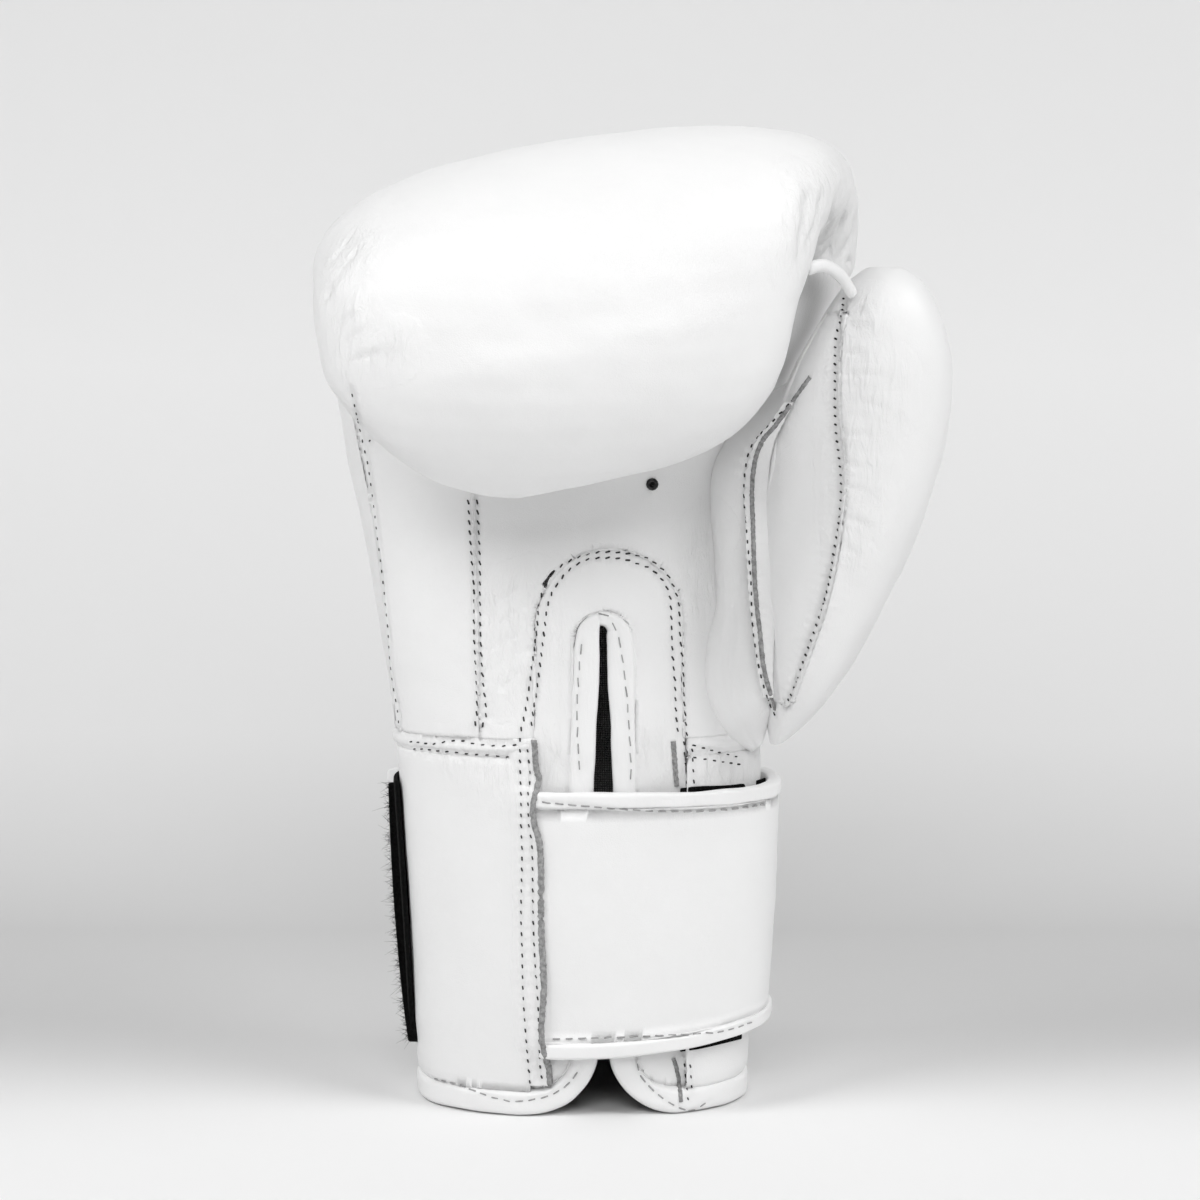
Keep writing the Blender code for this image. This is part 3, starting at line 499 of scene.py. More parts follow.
# How far a piece's points reach for a neighbour, and how far into it they then go
CAD_REACH = 0.0011
SKIN_REACH = 0.0015
OVERLAP = 0.0003


def drawn_in(verts, tree, reach, least):
    """Draws the points that lie within reach of the tree's surface a little way into it."""
    for vert in verts:
        point, _, _, gap = tree.find_nearest(vert.co, reach)
        if point is not None and gap > least:
            vert.co += (point - vert.co) / gap * (gap + OVERLAP)


def cage_of(node, crease, neighbours):
    """The node's faces as a cage of quads, with creased rims."""
    bm = bmesh.new()
    bm.from_mesh(NODES[node].data)
    bmesh.ops.remove_doubles(bm, verts=bm.verts, dist=1e-5)
    limit = math.radians(40)
    bmesh.ops.join_triangles(
        bm, faces=bm.faces, angle_face_threshold=limit, angle_shape_threshold=math.radians(80)
    )
    creases = bm.edges.layers.float.new("crease_edge")
    for edge in bm.edges:
        if edge.is_manifold and edge.calc_face_angle() > math.radians(50):
            edge[creases] = crease
    for other in neighbours:
        drawn_in(bm.verts, tree_of([NODES[other]]), CAD_REACH, 1e-6)
    return bm


def linked(name, mesh, material):
    """A new smooth object in the scene."""
    piece = bpy.data.objects.new(name, mesh)
    bpy.context.scene.collection.objects.link(piece)
    mesh.materials.clear()
    mesh.materials.append(material)
    mesh.shade_smooth()
    return piece


def applied(piece):
    """Bakes the piece's modifiers into its mesh."""
    graph = bpy.context.evaluated_depsgraph_get()
    mesh = bpy.data.meshes.new_from_object(piece.evaluated_get(graph))
    piece.modifiers.clear()
    piece.data = mesh
    return piece


# Shares of the triangles that the heaviest skins keep
KEPT_SHARES = {"fist_leather": 0.78, "palm_leather": 0.68}


def subdivided(piece, levels):
    modifier = piece.modifiers.new("round", "SUBSURF")
    modifier.levels = modifier.render_levels = levels
    if piece.name in KEPT_SHARES:
        piece.modifiers.new("thin", "DECIMATE").ratio = KEPT_SHARES[piece.name]
    applied(piece)
    piece.data.shade_smooth()


def skin(name, node, levels, material, crease, fill, neighbours):
    """A smooth piece in place of a CAD node."""
    bm = cage_of(node, crease, neighbours)
    mesh = bpy.data.meshes.new(name)
    bm.to_mesh(mesh)
    bm.free()
    piece = linked(name, mesh, material)
    subdivided(piece, levels)
    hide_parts(node)
    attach(piece, "root")
    return piece


SKINS = (
    # piece, node, subdivisions, material, crease, padding, neighbours that it closes up to
    ("fist_leather", "fist_pad", 3, WHITE, 0.6, 0.9, ()),
    ("thumb_leather", "thumb_pad", 3, WHITE, 0.6, 0.8, ()),
    ("side_pad_leather", "palm_side_pad", 3, WHITE, 0.7, 0.5, ("fist_pad",)),
    ("cuff_leather", "cuff_wall", 3, WHITE, 0.8, 0.6, ("edge_binding",)),
    ("palm_leather", "palm_panel", 4, WHITE, 1.0, None, ("palm_side_pad", "palm_tongue", "vent_eyelet")),
    ("tongue_leather", "palm_tongue", 3, WHITE, 1.0, None, ("cuff_wall", "edge_binding")),
    ("thumb_panel_leather", "thumb_inner_panel", 4, WHITE, 0.9, None, ("thumb_pad",)),
    ("link_leather", "thumb_link", 2, WHITE, 0.3, None, ()),
    ("wrist_roll_leather", "wrist_welt", 3, WHITE, 0.3, None, ()),
    ("edge_binding_leather", "edge_binding", 3, SMOOTH_WHITE, 0.3, None, ()),
    ("strap_leather", "strap", 3, WHITE, 0.9, None, ("strap_binding_top", "strap_binding_bottom")),
    ("strap_edge_top", "strap_binding_top", 3, SMOOTH_WHITE, 0.4, None, ()),
    ("strap_edge_bottom", "strap_binding_bottom", 3, SMOOTH_WHITE, 0.4, None, ()),
    ("lining_skin", "lining", 2, CLOTH, 0.5, None, ()),
    ("strap_lining_skin", "strap_lining", 2, TAPE, 0.5, None, ()),
    ("hook_tape", "hook_patch", 3, TAPE, 0.5, None, ()),
    ("loop_tape", "loop_patch", 3, TAPE, 0.5, None, ()),
)
PIECES = {row[0]: skin(*row) for row in SKINS}


# A rounded rim opens a seam. Each piece, and the pieces that its rim reaches to close it again
JOINED = (
    ("thumb_panel_leather", ("thumb_leather",)),
    ("palm_leather", ("tongue_leather", "side_pad_leather", "fist_leather")),
    ("side_pad_leather", ("fist_leather",)),
    ("tongue_leather", ("edge_binding_leather", "cuff_leather")),
    ("wrist_roll_leather", ("cuff_leather", "fist_leather", "side_pad_leather", "palm_leather")),
    ("cuff_leather", ("edge_binding_leather",)),
    ("strap_leather", ("strap_edge_top", "strap_edge_bottom")),
)


def pieces_of(*names):
    return [PIECES[name] for name in names]


for joined, others in JOINED:
    drawn_in(PIECES[joined].data.vertices, tree_of(pieces_of(*others)), SKIN_REACH, 1e-5)
    PIECES[joined].data.update()


def eased(value, low, high):
    """0 up to low, 1 from high, and smooth between them, for one value or an array."""
    share = np.clip((value - low) / (high - low), 0.0, 1.0)
    return share * share * (3 - 2 * share)


def points_of(piece):
    points = np.empty(len(piece.data.vertices) * 3, np.float32)
    piece.data.vertices.foreach_get("co", points)
    return points.reshape(-1, 3)


def put_points(piece, points):
    piece.data.vertices.foreach_set("co", points.ravel())
    piece.data.update()


SLIT_CENTRE = -0.0100
SLIT_FOOT = 0.100
SLIT_APEX = 0.148
SLIT_START = 0.060
BINDING_REACH = 0.0125
SPREAD_AT_FOOT = 0.00135
SPREAD_LOST_AT_APEX = 0.0021


def taper_slit():
    """Spreads the two sides of the slit's binding towards the strap and draws them together at the top."""
    piece = PIECES["edge_binding_leather"]
    points = points_of(piece)
    side = points[:, 0] - SLIT_CENTRE
    near = (np.abs(side) < BINDING_REACH) & (points[:, 2] > SLIT_START) & (points[:, 1] < 0.0)
    up = np.clip((points[:, 2] - SLIT_FOOT) / (SLIT_APEX - SLIT_FOOT), 0.0, 1.0)
    spread = (SPREAD_AT_FOOT - SPREAD_LOST_AT_APEX * up) * eased(points[:, 2], SLIT_START, SLIT_FOOT)
    spread *= 1 - 0.75 * eased(np.abs(side), 0.004, BINDING_REACH)
    spread = np.maximum(spread, 0.0001 - np.abs(side))
    points[:, 0] += np.where(near, np.sign(side) * spread, 0.0)
    put_points(piece, points)


LINK_GROWTH = (1.30, 1.2, 1.35)
LINK_SHIFT = (-0.0042, -0.001, -0.0005)


def move_link():
    """Carries the thumb's link over to the fold's corner, and makes it as broad as the photograph's."""
    piece = PIECES["link_leather"]
    points = points_of(piece)
    middle = (points.min(axis=0) + points.max(axis=0)) / 2
    points[:] = middle + (points - middle) * LINK_GROWTH + LINK_SHIFT
    put_points(piece, points)


PANEL_DENT = 0.0025


def hollow_panel():
    """Presses in the middle of the thumb's inner panel."""
    piece = PIECES["thumb_panel_leather"]
    points = points_of(piece)
    low, high = points.min(axis=0), points.max(axis=0)
    across = (points[:, 0] - low[0]) / (high[0] - low[0])
    up = (points[:, 2] - low[2]) / (high[2] - low[2])
    dent = 4 * across * (1 - across) * np.sqrt(np.maximum(up * (1 - up), 0.0)) * 2
    points[:, 1] += PANEL_DENT * np.clip(dent, 0.0, 1.0)
    put_points(piece, points)


taper_slit()
move_link()
hollow_panel()
GLOVE = [piece for name, piece in PIECES.items() if name.endswith("leather") or "edge" in name]


# Sheets between two rows of pixels

# The web of soft leather between palm and thumb, from the top
WEB_LEFT = ((790, 381), (762, 398), (738, 420), (722, 445), (711, 472), (709, 506), (713, 550), (714, 605),
            (706, 645), (704, 686), (716, 720), (736, 744), (752, 752))
WEB_RIGHT = ((812, 377), (793, 401), (775, 426), (763, 440), (755, 461), (752, 490), (754, 545), (757, 597),
             (761, 633), (765, 669), (772, 700), (768, 728), (762, 745))
# The cuff's cut flap over the strap's start
FLAP_LEFT = ((506, 738), (506, 820), (507, 900), (508, 980), (512, 1040), (517, 1086))
FLAP_RIGHT = ((535, 739), (538, 767), (540, 780), (536, 804), (536, 824), (540, 840), (542, 868), (542, 919),
              (543, 946), (545, 992), (543, 1030), (546, 1053), (550, 1068), (551, 1087))
# The felt of the closed tapes, seen at the left
TAPE_LEFT = ((388, 782), (390, 838), (394, 908), (401, 986), (408, 1042))
TAPE_RIGHT = ((404, 782), (408, 838), (414, 908), (420, 986), (424, 1042))
# Black felt laid on the cuff just above and below the strap: painted shade in the gap where the strap stands
# off the cuff
STRAP_GAP_SHADE_TOP = ((680, 788), (700, 786), (728, 785), (750, 782), (766, 777))
STRAP_GAP_SHADE_BOTTOM = ((680, 1041), (700, 1038), (722, 1033), (742, 1028))
# The palm's leather under the left of the arch
ARCH_LEFT = ((522, 720), (530, 660), (537, 610), (546, 585), (556, 568), (570, 556))
ARCH_RIGHT = ((534, 720), (541, 660), (548, 614), (557, 593), (566, 578), (578, 566))
# How far the thumb panel's leather runs on to the right of the web's border, in pixels
FLOOR_REACH = (2, 8, 13, 16, 17, 17, 16, 13, 9, 3)


def even_pixels(pixels, count):
    """This many pixels at even steps along a row."""
    run = np.array(traced(pixels))
    length = run_length(run)
    at = np.linspace(0, length[-1], count)
    return np.stack([np.interp(at, length, run[:, i]) for i in range(2)], axis=1)


def surface_point(tree, pixel):
    """Where the camera ray through the pixel meets the tree's surface, or None."""
    return tree.ray_cast(EYE, pixel_ray(*pixel))[0]


def smoothed(values, passes):
    """The values with each inner one drawn towards its neighbours."""
    values = np.array(values)
    for _ in range(passes):
        values[1:-1] = (values[:-2] + 2 * values[1:-1] + values[2:]) / 4
    return values


def known_depths(pieces, pixels):
    """How far from the camera these pieces lie at each pixel, smoothed along the row."""
    tree = tree_of(pieces)
    found = [surface_point(tree, pixel) for pixel in pixels]
    known = [i for i, point in enumerate(found) if point is not None]
    depths = [(found[i] - EYE).length for i in known]
    return smoothed(np.interp(range(len(pixels)), known, depths), 12)


def shifted(pixels, across, down=0):
    return tuple((x + across, y + down) for x, y in pixels)


def level(rise):
    """The profile of a flat sheet."""
    return lambda across, along: rise


def sheet_front(edges, depths, profile, columns):
    """The front points of a sheet, row by row."""
    count = len(edges[0])
    corners = []
    for i in range(count):
        for j in range(columns + 1):
            u = j / columns
            pixel = edges[0][i] * (1 - u) + edges[1][i] * u
            depth = depths[0][i] * (1 - u) + depths[1][i] * u
            corners.append(EYE + pixel_ray(*pixel) * (depth - profile(u, i / (count - 1))))
    return corners


def sheet_faces(count, columns):
    """The faces of a closed sheet whose back points follow its front ones in the same order."""
    wide = columns + 1
    total = count * wide
    faces = []
    for i in range(count - 1):
        for j in range(columns):
            a = i * wide + j
            faces.append((a, a + wide, a + wide + 1, a + 1))
            faces.append((total + a, total + a + 1, total + a + wide + 1, total + a + wide))
    rim = list(range(wide)) + [i * wide + columns for i in range(1, count)]
    rim += [(count - 1) * wide + j for j in range(columns - 1, -1, -1)]
    rim += [i * wide for i in range(count - 2, 0, -1)]
    for a, b in zip(rim, rim[1:] + rim[:1]):
        faces.append((a, b, total + b, total + a))
    return faces


def mesh_of(name, corners, faces):
    mesh = bpy.data.meshes.new(name)
    mesh.from_pydata([tuple(corner) for corner in corners], [], faces)
    mesh.update()
    return mesh


def turned_out(mesh):
    """The mesh with every face turned outwards."""
    bm = bmesh.new()
    bm.from_mesh(mesh)
    bmesh.ops.recalc_face_normals(bm, faces=bm.faces)
    bm.to_mesh(mesh)
    bm.free()
    return mesh


def sheet(name, borders, carriers, profile, count, columns, thick, material=WHITE, probes=None):
    """A closed sheet between two rows of pixels, raised by profile(share across, share along).

    Its depths are those of the carriers at the borders, or at the probes where these are given.
    """
    edges = [even_pixels(border, count) for border in borders]
    probed = [even_pixels(border, count) for border in probes or borders]
    depths = [known_depths(pieces, edge) for pieces, edge in zip(carriers, probed)]
    front = sheet_front(edges, depths, profile, columns)
    back = [corner + (corner - EYE).normalized() * thick for corner in front]
    mesh = turned_out(mesh_of(name, front + back, sheet_faces(count, columns)))
    piece = linked(name, mesh, material)
    subdivided(piece, 1)
    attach(piece, "root")
    return piece


def web_rise(across, along):
    """A soft fold that flattens at its ends and parts into two towards the wrist."""
    ends = min(1.0, 6 * along) * min(1.0, 2.2 * (1 - along))
    valley = 0.45 * eased(along, 0.5, 0.75) * math.exp(-(((across - 0.42) / 0.10) ** 2))
    bulge = math.sin(math.pi * across) ** 0.55
    return 0.0050 * (0.25 + 0.75 * ends) * bulge * (1 - valley) - 0.0006


def flap_rise(across, along):
    """Flat leather that rises from the cuff to the edge that lies over the strap."""
    return -0.0004 + 0.0016 * float(eased(across, 0.0, 0.45))


def make_web():
    carriers = (pieces_of("palm_leather", "wrist_roll_leather"), THUMB_SIDE)
    web = sheet("web_leather", (WEB_LEFT, WEB_RIGHT), carriers, web_rise, 90, 16, 0.004)
    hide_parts("thumb_welt")
    return web


def make_panel_floor():
    """The thumb panel's leather carried on under the web's cut edge."""
    border = WEB_RIGHT[1:-2]
    right = tuple((x + reach, y) for (x, y), reach in zip(border, FLOOR_REACH))
    probes = (shifted(border, 17),) * 2
    borders = (shifted(border, -9), right)
    return sheet("panel_floor", borders, (THUMB_SIDE,) * 2, level(-0.0012), 60, 5, 0.001, probes=probes)


def make_arch_floor():
    carriers = (pieces_of("palm_leather"), pieces_of("tongue_leather"))
    return sheet("arch_floor", (ARCH_LEFT, ARCH_RIGHT), carriers, level(-0.0001), 50, 4, 0.0008)


def make_tape_felt():
    carriers = (pieces_of("hook_tape", "loop_tape"),) * 2
    probes = (shifted(TAPE_LEFT, 5),) * 2
    return sheet("tape_felt", (TAPE_LEFT, TAPE_RIGHT), carriers, level(0.0003), 60, 4, 0.0012, TAPE, probes)


# Black sheets on the cuff along the strap's edges: painted shade where the strap stands off the cuff.
def make_strap_gap_shade():
    carriers = (pieces_of("cuff_leather", "edge_binding_leather", "tongue_leather"),) * 2
    for name, rim, drop in (("strap_gap_shade_top", STRAP_GAP_SHADE_TOP, 17), ("strap_gap_shade_bottom", STRAP_GAP_SHADE_BOTTOM, 11)):
        sheet(name, (rim, shifted(rim, 0, drop)), carriers, level(0.0006), 40, 4, 0.0005, TAPE)


THUMB_SIDE = pieces_of("thumb_panel_leather", "thumb_leather")
WEB = make_web()
FLAP = sheet("cuff_flap", (FLAP_LEFT, FLAP_RIGHT), (GLOVE, GLOVE), flap_rise, 90, 12, 0.0012)
FLOOR = make_panel_floor()
TAPE_FELT = make_tape_felt()
ARCH = make_arch_floor()
make_strap_gap_shade()
LEATHERS = GLOVE + [WEB, FLAP, FLOOR, ARCH]


# Shaping of the leather at its seams


def smooth_noise(points, scale, seed):
    """Soft noise of about -1 to 1 at these points, made of a few sine waves in seeded directions."""
    rng = np.random.default_rng(seed)
    total = np.zeros(len(points))
    for _ in range(7):
        way = rng.normal(size=3)
        way /= np.linalg.norm(way)
        total += np.sin(points @ way * (rng.uniform(0.6, 1.6) * 2 * math.pi / scale) + rng.uniform(0, 6.3))
    return total / 3.5


def nearest_on(path, points, reach):
    """For each point within reach of the path: its index, its distance and the run along the path."""
    low, high = path.min(axis=0) - reach, path.max(axis=0) + reach
    near = np.nonzero(((points > low) & (points < high)).all(axis=1))[0]
    if not len(near):
        return near, near, near
    tree = KDTree(len(path))
    for i, place in enumerate(path):
        tree.insert(place, i)
    tree.balance()
    run = run_length(path)
    found = [tree.find(points[i]) for i in near]
    distance = np.array([f[2] for f in found])
    along = run[[f[1] for f in found]]
    kept = distance < reach
    return near[kept], distance[kept], along[kept]


# Each effect: depth and width of the groove, depth, reach and pitch of the puckers, in mm, and how much it
# darkens the colour: painted shade, with some soiling at the seams.
# An effect without puckers, such as a crease, fades out at its ends.
SEAM_EFFECTS = (
    (PALM_ROWS, 0.30, 0.9, 0.22, 2.2, 3.4, 0.10),
    (ARCH_ROWS, 0.28, 0.9, 0.22, 2.2, 3.4, 0.10),
    (CUFF_ROWS, 0.25, 0.9, 0.20, 2.2, 3.4, 0.10),
    (WRIST_ROWS, 0.30, 0.9, 0.30, 2.6, 3.4, 0.12),
    (THUMB_ROWS[:1], 0.85, 1.3, 0.45, 4.5, 3.0, 0.22),
    (THUMB_ROWS[1:], 0.35, 1.0, 0.45, 4.0, 3.2, 0.10),
    (LEFT_ROWS, 0.75, 1.3, 0.30, 4.0, 3.4, 0.15),
    (STRAP_ROWS, 0.25, 0.8, 0.12, 2.0, 3.4, 0.08),
    (HEM_ROWS, 0.22, 0.8, 0.15, 2.0, 3.4, 0.08),
    (SLIT_ROWS, 0.20, 0.8, 0.12, 2.0, 3.4, 0.05),
    (STRAP_RIDGES, -0.38, 0.9, 0.0, 2.0, 3.4, 0.0),
    (PLEATS, 1.10, 1.5, 0.0, 3.0, 3.4, 0.10),
    (LEFT_PLEATS, 0.60, 1.1, 0.0, 2.5, 3.4, 0.05),
    (CUFF_CREASES, 0.30, 1.0, 0.0, 2.5, 3.4, 0.02),
    (PALM_CREASES, 0.28, 1.2, 0.0, 2.5, 3.4, 0.0),
    (THUMB_CREASES, 0.42, 0.9, 0.0, 2.5, 3.4, 0.03),
    # The pocket only darkens the colour: painted shade.
    (POCKET_SHADE, 0.0, 5.0, 0.0, 4.5, 3.4, 0.80),
)


def seam_paths():
    """Each row that meets the leather, as points, with its effect."""
    tree = tree_of(LEATHERS)
    paths = []
    for rows, *effect in SEAM_EFFECTS:
        for row in rows:
            points, _ = on_glove(tree, row)
            if len(points) > 3:
                paths.append((points, effect))
    return paths


def bell(distance, width):
    return np.exp(-((distance / width) ** 2))


def faded(along, length):
    """1 along the middle of a crease, and less towards its ends."""
    return np.minimum(1.0, 0.25 + 4 * along / length) * np.minimum(1.0, 4 * (1 - along / length))


def pressed(points, path, effect, seed):
    """For the points near the path: their indexes, and their move, fold and groove darkening, which is painted
    shade with some soiling at the seams.
    """
    depth, width, pucker, reach, pitch, soil_and_shade = effect
    width, reach, pitch = width * MM, reach * MM, pitch * MM
    index, distance, along = nearest_on(path, points, (2.2 if pucker else 4.0) * reach)
    if not len(index):
        return index, 0.0, 0.0, 0.0
    fade = 1.0 if pucker else faded(along, run_length(path)[-1])
    uneven = 1.0 + 0.35 * smooth_noise(points[index], 0.012, seed)
    wave = 0.5 - 0.5 * np.cos(2 * math.pi * along / pitch)
    move = -fade * depth * MM * bell(distance, width)
    move -= pucker * MM * uneven * wave * bell(distance, reach)
    fold = 0.5 * bell(distance, 1.2 * reach) if pucker else 0.9 * bell(distance, 3.0 * reach)
    if depth <= 0:
        fold = 0.0
    # The last value darkens the colour: painted shade, with some soiling at the seams.
    return index, move, fold, soil_and_shade * bell(distance, 1.2 * width)


def mark(mesh, name, values):
    layer = mesh.attributes.new(name, "FLOAT", "POINT")
    layer.data.foreach_set("value", values)


def shaped(piece, paths, seed):
    """Presses the seams into the piece, puckers the leather beside them and makes it a little uneven."""
    mesh = piece.data
    count = len(mesh.vertices)
    points, normals = points_of(piece), np.empty(count * 3, np.float32)
    mesh.vertices.foreach_get("normal", normals)
    normals = normals.reshape(-1, 3)
    broad, fine = smooth_noise(points, 0.030, seed), smooth_noise(points, 0.011, seed + 1)
    move = 0.22 * MM * broad + 0.10 * MM * fine
    groove, fold = np.zeros(count), np.zeros(count)
    for path, effect in paths:
        index, moved, folded, soiled_and_shaded = pressed(points, path, effect, seed + 2)
        move[index] += moved
        fold[index] = np.maximum(fold[index], folded)
        # Painted shade, with some soiling at the seams, goes into the groove mark.
        groove[index] = np.maximum(groove[index], soiled_and_shaded)
    points += normals * move[:, None]
    put_points(piece, points)
    mark(mesh, "groove", groove)
    mark(mesh, "fold", fold)
    mesh.update()


PATHS = seam_paths()
for number, leather_piece in enumerate(LEATHERS):
    shaped(leather_piece, PATHS, 10 * number)
LEATHER_TREE = tree_of(LEATHERS)


# Stitches and raw edges


STITCH_SIDES = 6
STITCH_SUNK = 0.3


def capsule(length, radius):
    """Points and faces of a rounded rod along X."""
    half = [(radius * (1 - math.cos(t)) - length / 2, radius * math.sin(t)) for t in (0.25, 0.9, math.pi / 2)]
    stations = half + [(-x, r) for x, r in reversed(half)]
    turns = [2 * math.pi * j / STITCH_SIDES for j in range(STITCH_SIDES)]
    points = [(x, r * math.cos(t), r * math.sin(t)) for x, r in stations for t in turns]
    faces = []
    for i in range(len(stations) - 1):
        for j in range(STITCH_SIDES):
            k = (j + 1) % STITCH_SIDES
            a, b = i * STITCH_SIDES, (i + 1) * STITCH_SIDES
            faces.append((a + j, a + k, b + k, b + j))
    last = (len(stations) - 1) * STITCH_SIDES
    faces.append(tuple(range(STITCH_SIDES))[::-1])
    faces.append(tuple(last + j for j in range(STITCH_SIDES)))
    return np.array(points), faces


def detail(name, corners, faces, material, slot):
    """A small piece that rides on the glove."""
    piece = linked(name, mesh_of(name, corners, faces), material)
    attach(piece, "root")


def stitched(name, rows, pitch, length, radius, tilt=0.0, material=STITCH):
    """One mesh of all the stitches of these rows, each pressed into the leather. Sizes are in mm."""
    shape, faces = capsule(length * MM, radius * MM)
    corners, polygons = [], []
    for pixels in rows:
        points, normals = on_glove(LEATHER_TREE, pixels)
        if len(points) < 3:
            continue
        for place, out, along in zip(*every(points, normals, pitch * MM)):
            across = np.cross(out, along)
            turn = RNG.normal(tilt, 0.08)
            way = along * math.cos(turn) + across * math.sin(turn)
            side = np.cross(out, way)
            size = RNG.uniform(0.85, 1.1)
            start = len(corners) * len(shape)
            base = place + out * radius * MM * (0.5 - STITCH_SUNK)
            corners.append(base + size * (shape @ np.stack([way, side, out])))
            polygons += [tuple(start + i for i in face) for face in faces]
    detail(name, np.concatenate(corners), polygons, material, "white_leather")


# The section of a cut edge: shares across its width, and of its rise
RAW_SHARES = (-0.5, -0.42, -0.2, 0.15, 0.42, 0.5)
RAW_LIFTS = (-0.6, 0.55, 1.0, 0.9, 0.5, -0.6)
RAW_RISE = 0.5 * MM
RAW_STEP = 0.7 * MM


def ribbon(name, pixels, width):
    """The cut edge of the leather: a thin ragged strip along a row."""
    points, normals = on_glove(LEATHER_TREE, pixels)
    if len(points) < 4:
        return
    place, out, along = every(smoothed(points, 6), normals, RAW_STEP)
    corners, faces = [], []
    count = len(RAW_SHARES)
    for p, n, w in zip(place, out, along):
        side = np.cross(n, w)
        ragged = RNG.normal(0, 0.05, count) * width
        for share, lift, loose in zip(RAW_SHARES, RAW_LIFTS, ragged):
            corners.append(p + side * (share * width + loose) + n * lift * RAW_RISE)
    for i in range(len(place) - 1):
        for j in range(count - 1):
            a = i * count + j
            faces.append((a, a + 1, a + count + 1, a + count))
    detail(name, corners, faces, RAW, "white_leather")


HAIR_RADIUS = 0.06 * MM
HAIR_STEPS = 3


def hair(root):
    """The points of one loose hair, three at each of its steps."""
    way = Vector((-RNG.uniform(0.3, 1.0), RNG.normal(0, 0.3), RNG.normal(-0.15, 0.6))).normalized()
    curl = Vector(RNG.normal(0, 0.5, 3))
    long = RNG.uniform(0.0010, 0.0030)
    corners = []
    for step in range(HAIR_STEPS + 1):
        share = step / HAIR_STEPS
        place = root + way * long * share + curl * long * share * share
        thick = HAIR_RADIUS * (1.2 - share)
        for x, z in ((0, 1), (1, -1), (-1, -1)):
            corners.append(place + Vector((x * thick, 0, z * thick)))
    return corners


def fibres(name, pixels, count):
    """Loose hairs that stand off the tape's cut side."""
    tree = tree_of([TAPE_FELT])
    edge = even_pixels(pixels, 200)
    corners, faces = [], []
    for _ in range(count):
        root = surface_point(tree, edge[RNG.integers(len(edge))] + (3, 0))
        if root is None:
            continue
        start = len(corners)
        corners += hair(root)
        for a in range(start, start + 3 * HAIR_STEPS, 3):
            faces += [(a + i, a + (i + 1) % 3, a + 3 + (i + 1) % 3, a + 3 + i) for i in range(3)]
    detail(name, corners, faces, TAPE, "black_tape")


stitched("palm_stitches", PALM_ROWS + ARCH_ROWS, 3.1, 1.5, 0.26, tilt=0.3)
stitched("cuff_stitches", CUFF_ROWS + WRIST_ROWS, 3.3, 1.2, 0.25, tilt=0.2)
stitched("thumb_stitches", THUMB_ROWS[:1], 2.6, 1.0, 0.30, tilt=1.0)
stitched("thumb_edge_stitches", THUMB_ROWS[1:], 3.2, 1.3, 0.27)
stitched("left_seam_stitches", LEFT_ROWS, 3.4, 1.0, 0.20)
stitched("pale_stitches", STRAP_ROWS + HEM_ROWS, 3.9, 2.5, 0.24, material=PALE_STITCH)
stitched("slit_stitches", SLIT_ROWS, 5.0, 3.0, 0.20, material=PALE_STITCH)
for number, (edge, edge_width) in enumerate(RAW_EDGES):
    ribbon(f"raw_edge_{number}", edge, edge_width * MM)
fibres("tape_fibres", TAPE_LEFT, 700)
NODES["vent_eyelet"].data.materials.clear()
NODES["vent_eyelet"].data.materials.append(metal())


# Studio


SWEEP_START = 0.14
SWEEP_RADIUS = 0.9
SWEEP_SIDE = 6.0
SWEEP_STEPS = 24
WALL_HEIGHT = 3.0

# The sweep's tones, from the floor behind the glove up the wall, between two runs along its profile. They
# stand in for the sweep's lighting: the darker band where the floor curves up into the wall is painted shade.
TONES_FROM = 5.7
TONES_TO = 7.5
SWEEP_TONES_WITH_SHADE = (
    (0.0, grey(0.86)),
    (0.16, grey(0.84)),
    (0.235, grey(0.70)),
    (0.30, grey(0.60)),
    (0.42, grey(0.78)),
    (0.60, grey(0.88)),
    (1.0, grey(0.78)),
)


def sweep_profile():
    """The sweep's section as (y, z), from the front of the floor to the top of the wall."""
    profile = [(-6.0, 0.0), (-0.5, 0.0), (-0.1, 0.0), (SWEEP_START, 0.0)]
    for i in range(1, SWEEP_STEPS + 1):
        angle = math.pi / 2 * i / SWEEP_STEPS
        y = SWEEP_START + SWEEP_RADIUS * math.sin(angle)
        profile.append((y, SWEEP_RADIUS * (1 - math.cos(angle))))
    return profile + [(SWEEP_START + SWEEP_RADIUS, WALL_HEIGHT)]


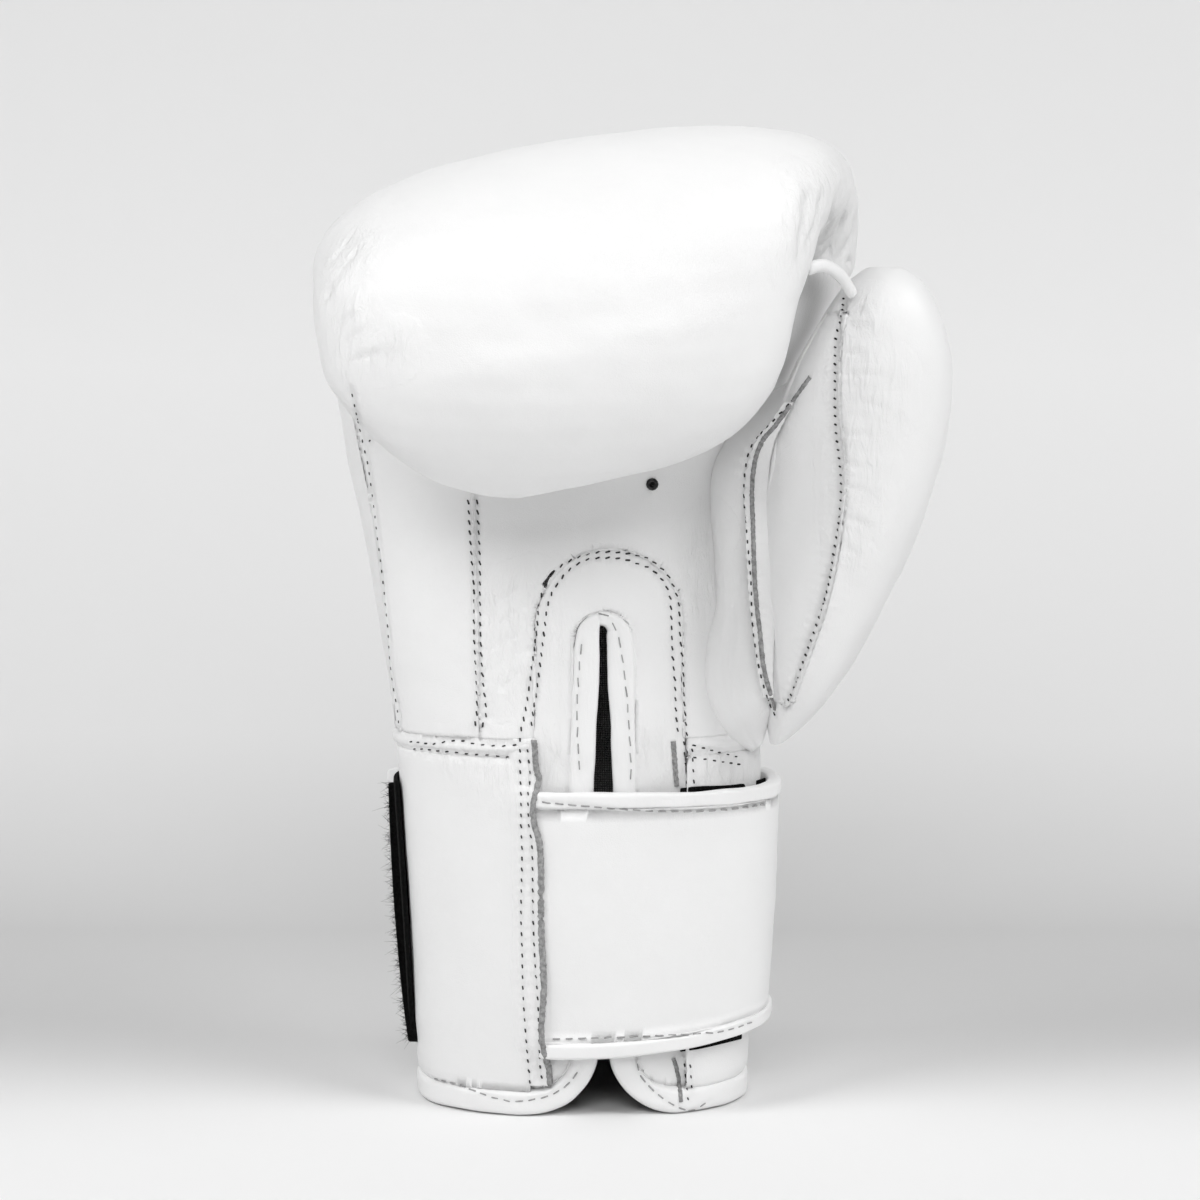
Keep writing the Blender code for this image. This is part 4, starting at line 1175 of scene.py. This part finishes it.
def sweep_mesh():
    profile = sweep_profile()
    runs = run_length(np.array(profile))
    count = len(profile)
    corners = [(x, y, z) for x in (-SWEEP_SIDE, SWEEP_SIDE) for y, z in profile]
    faces = [(i, count + i, count + i + 1, i + 1) for i in range(count - 1)]
    mesh = turned_out(mesh_of("backdrop", corners, faces))
    mark(mesh, "along", np.concatenate([runs, runs]))
    return mesh


def sweep_paper():
    material, tree, shader = nodes_of("studio_sweep")
    scaled = add(tree, "ShaderNodeMapRange")
    scaled.inputs["From Min"].default_value = TONES_FROM
    scaled.inputs["From Max"].default_value = TONES_TO
    link(tree, marked(tree, "along"), scaled.inputs["Value"])
    link(tree, ramp_of(tree, scaled.outputs["Result"], SWEEP_TONES_WITH_SHADE), shader.inputs["Base Color"])
    shader.inputs["Roughness"].default_value = 0.8
    shader.inputs["Specular IOR Level"].default_value = 0.15
    return material


# Name, place, size and power
LIGHTS = (
    ("front", (-0.1, -1.7, 1.20), (1.2, 0.8), 13.2),
    ("left_high", (-1.1, -0.6, 1.5), (0.8, 0.8), 14.8),
    ("right_high", (1.1, -0.6, 1.5), (0.8, 0.8), 12.8),
    ("right", (1.4, -0.5, 0.6), (0.8, 1.0), 4.0),
    ("left", (-1.4, -0.5, 0.6), (0.8, 1.0), 1.5),
)


def area_light(name, at, size, power):
    """A soft light aimed at the glove, which the camera doesn't see."""
    data = bpy.data.lights.new(name, "AREA")
    data.shape = "RECTANGLE"
    data.size, data.size_y = size
    data.energy = power
    light = bpy.data.objects.new(name, data)
    light.location = at
    light.rotation_euler = (AIM - Vector(at)).to_track_quat("-Z", "Y").to_euler()
    bpy.context.scene.collection.objects.link(light)
    light.visible_camera = False


def studio():
    """A white sweep, soft lights and a dim white world."""
    linked("backdrop", sweep_mesh(), sweep_paper())
    world = bpy.data.worlds.new("studio")
    bpy.context.scene.world = world
    world.use_nodes = True
    world.node_tree.nodes["Background"].inputs["Color"].default_value = (1, 1, 1, 1)
    world.node_tree.nodes["Background"].inputs["Strength"].default_value = 0.09
    for light in LIGHTS:
        area_light(*light)
    view = bpy.context.scene.view_settings
    view.view_transform = "Standard"
    view.look = "None"
    view.exposure = 0.0
    bpy.context.scene.cycles.max_bounces = 8


studio()
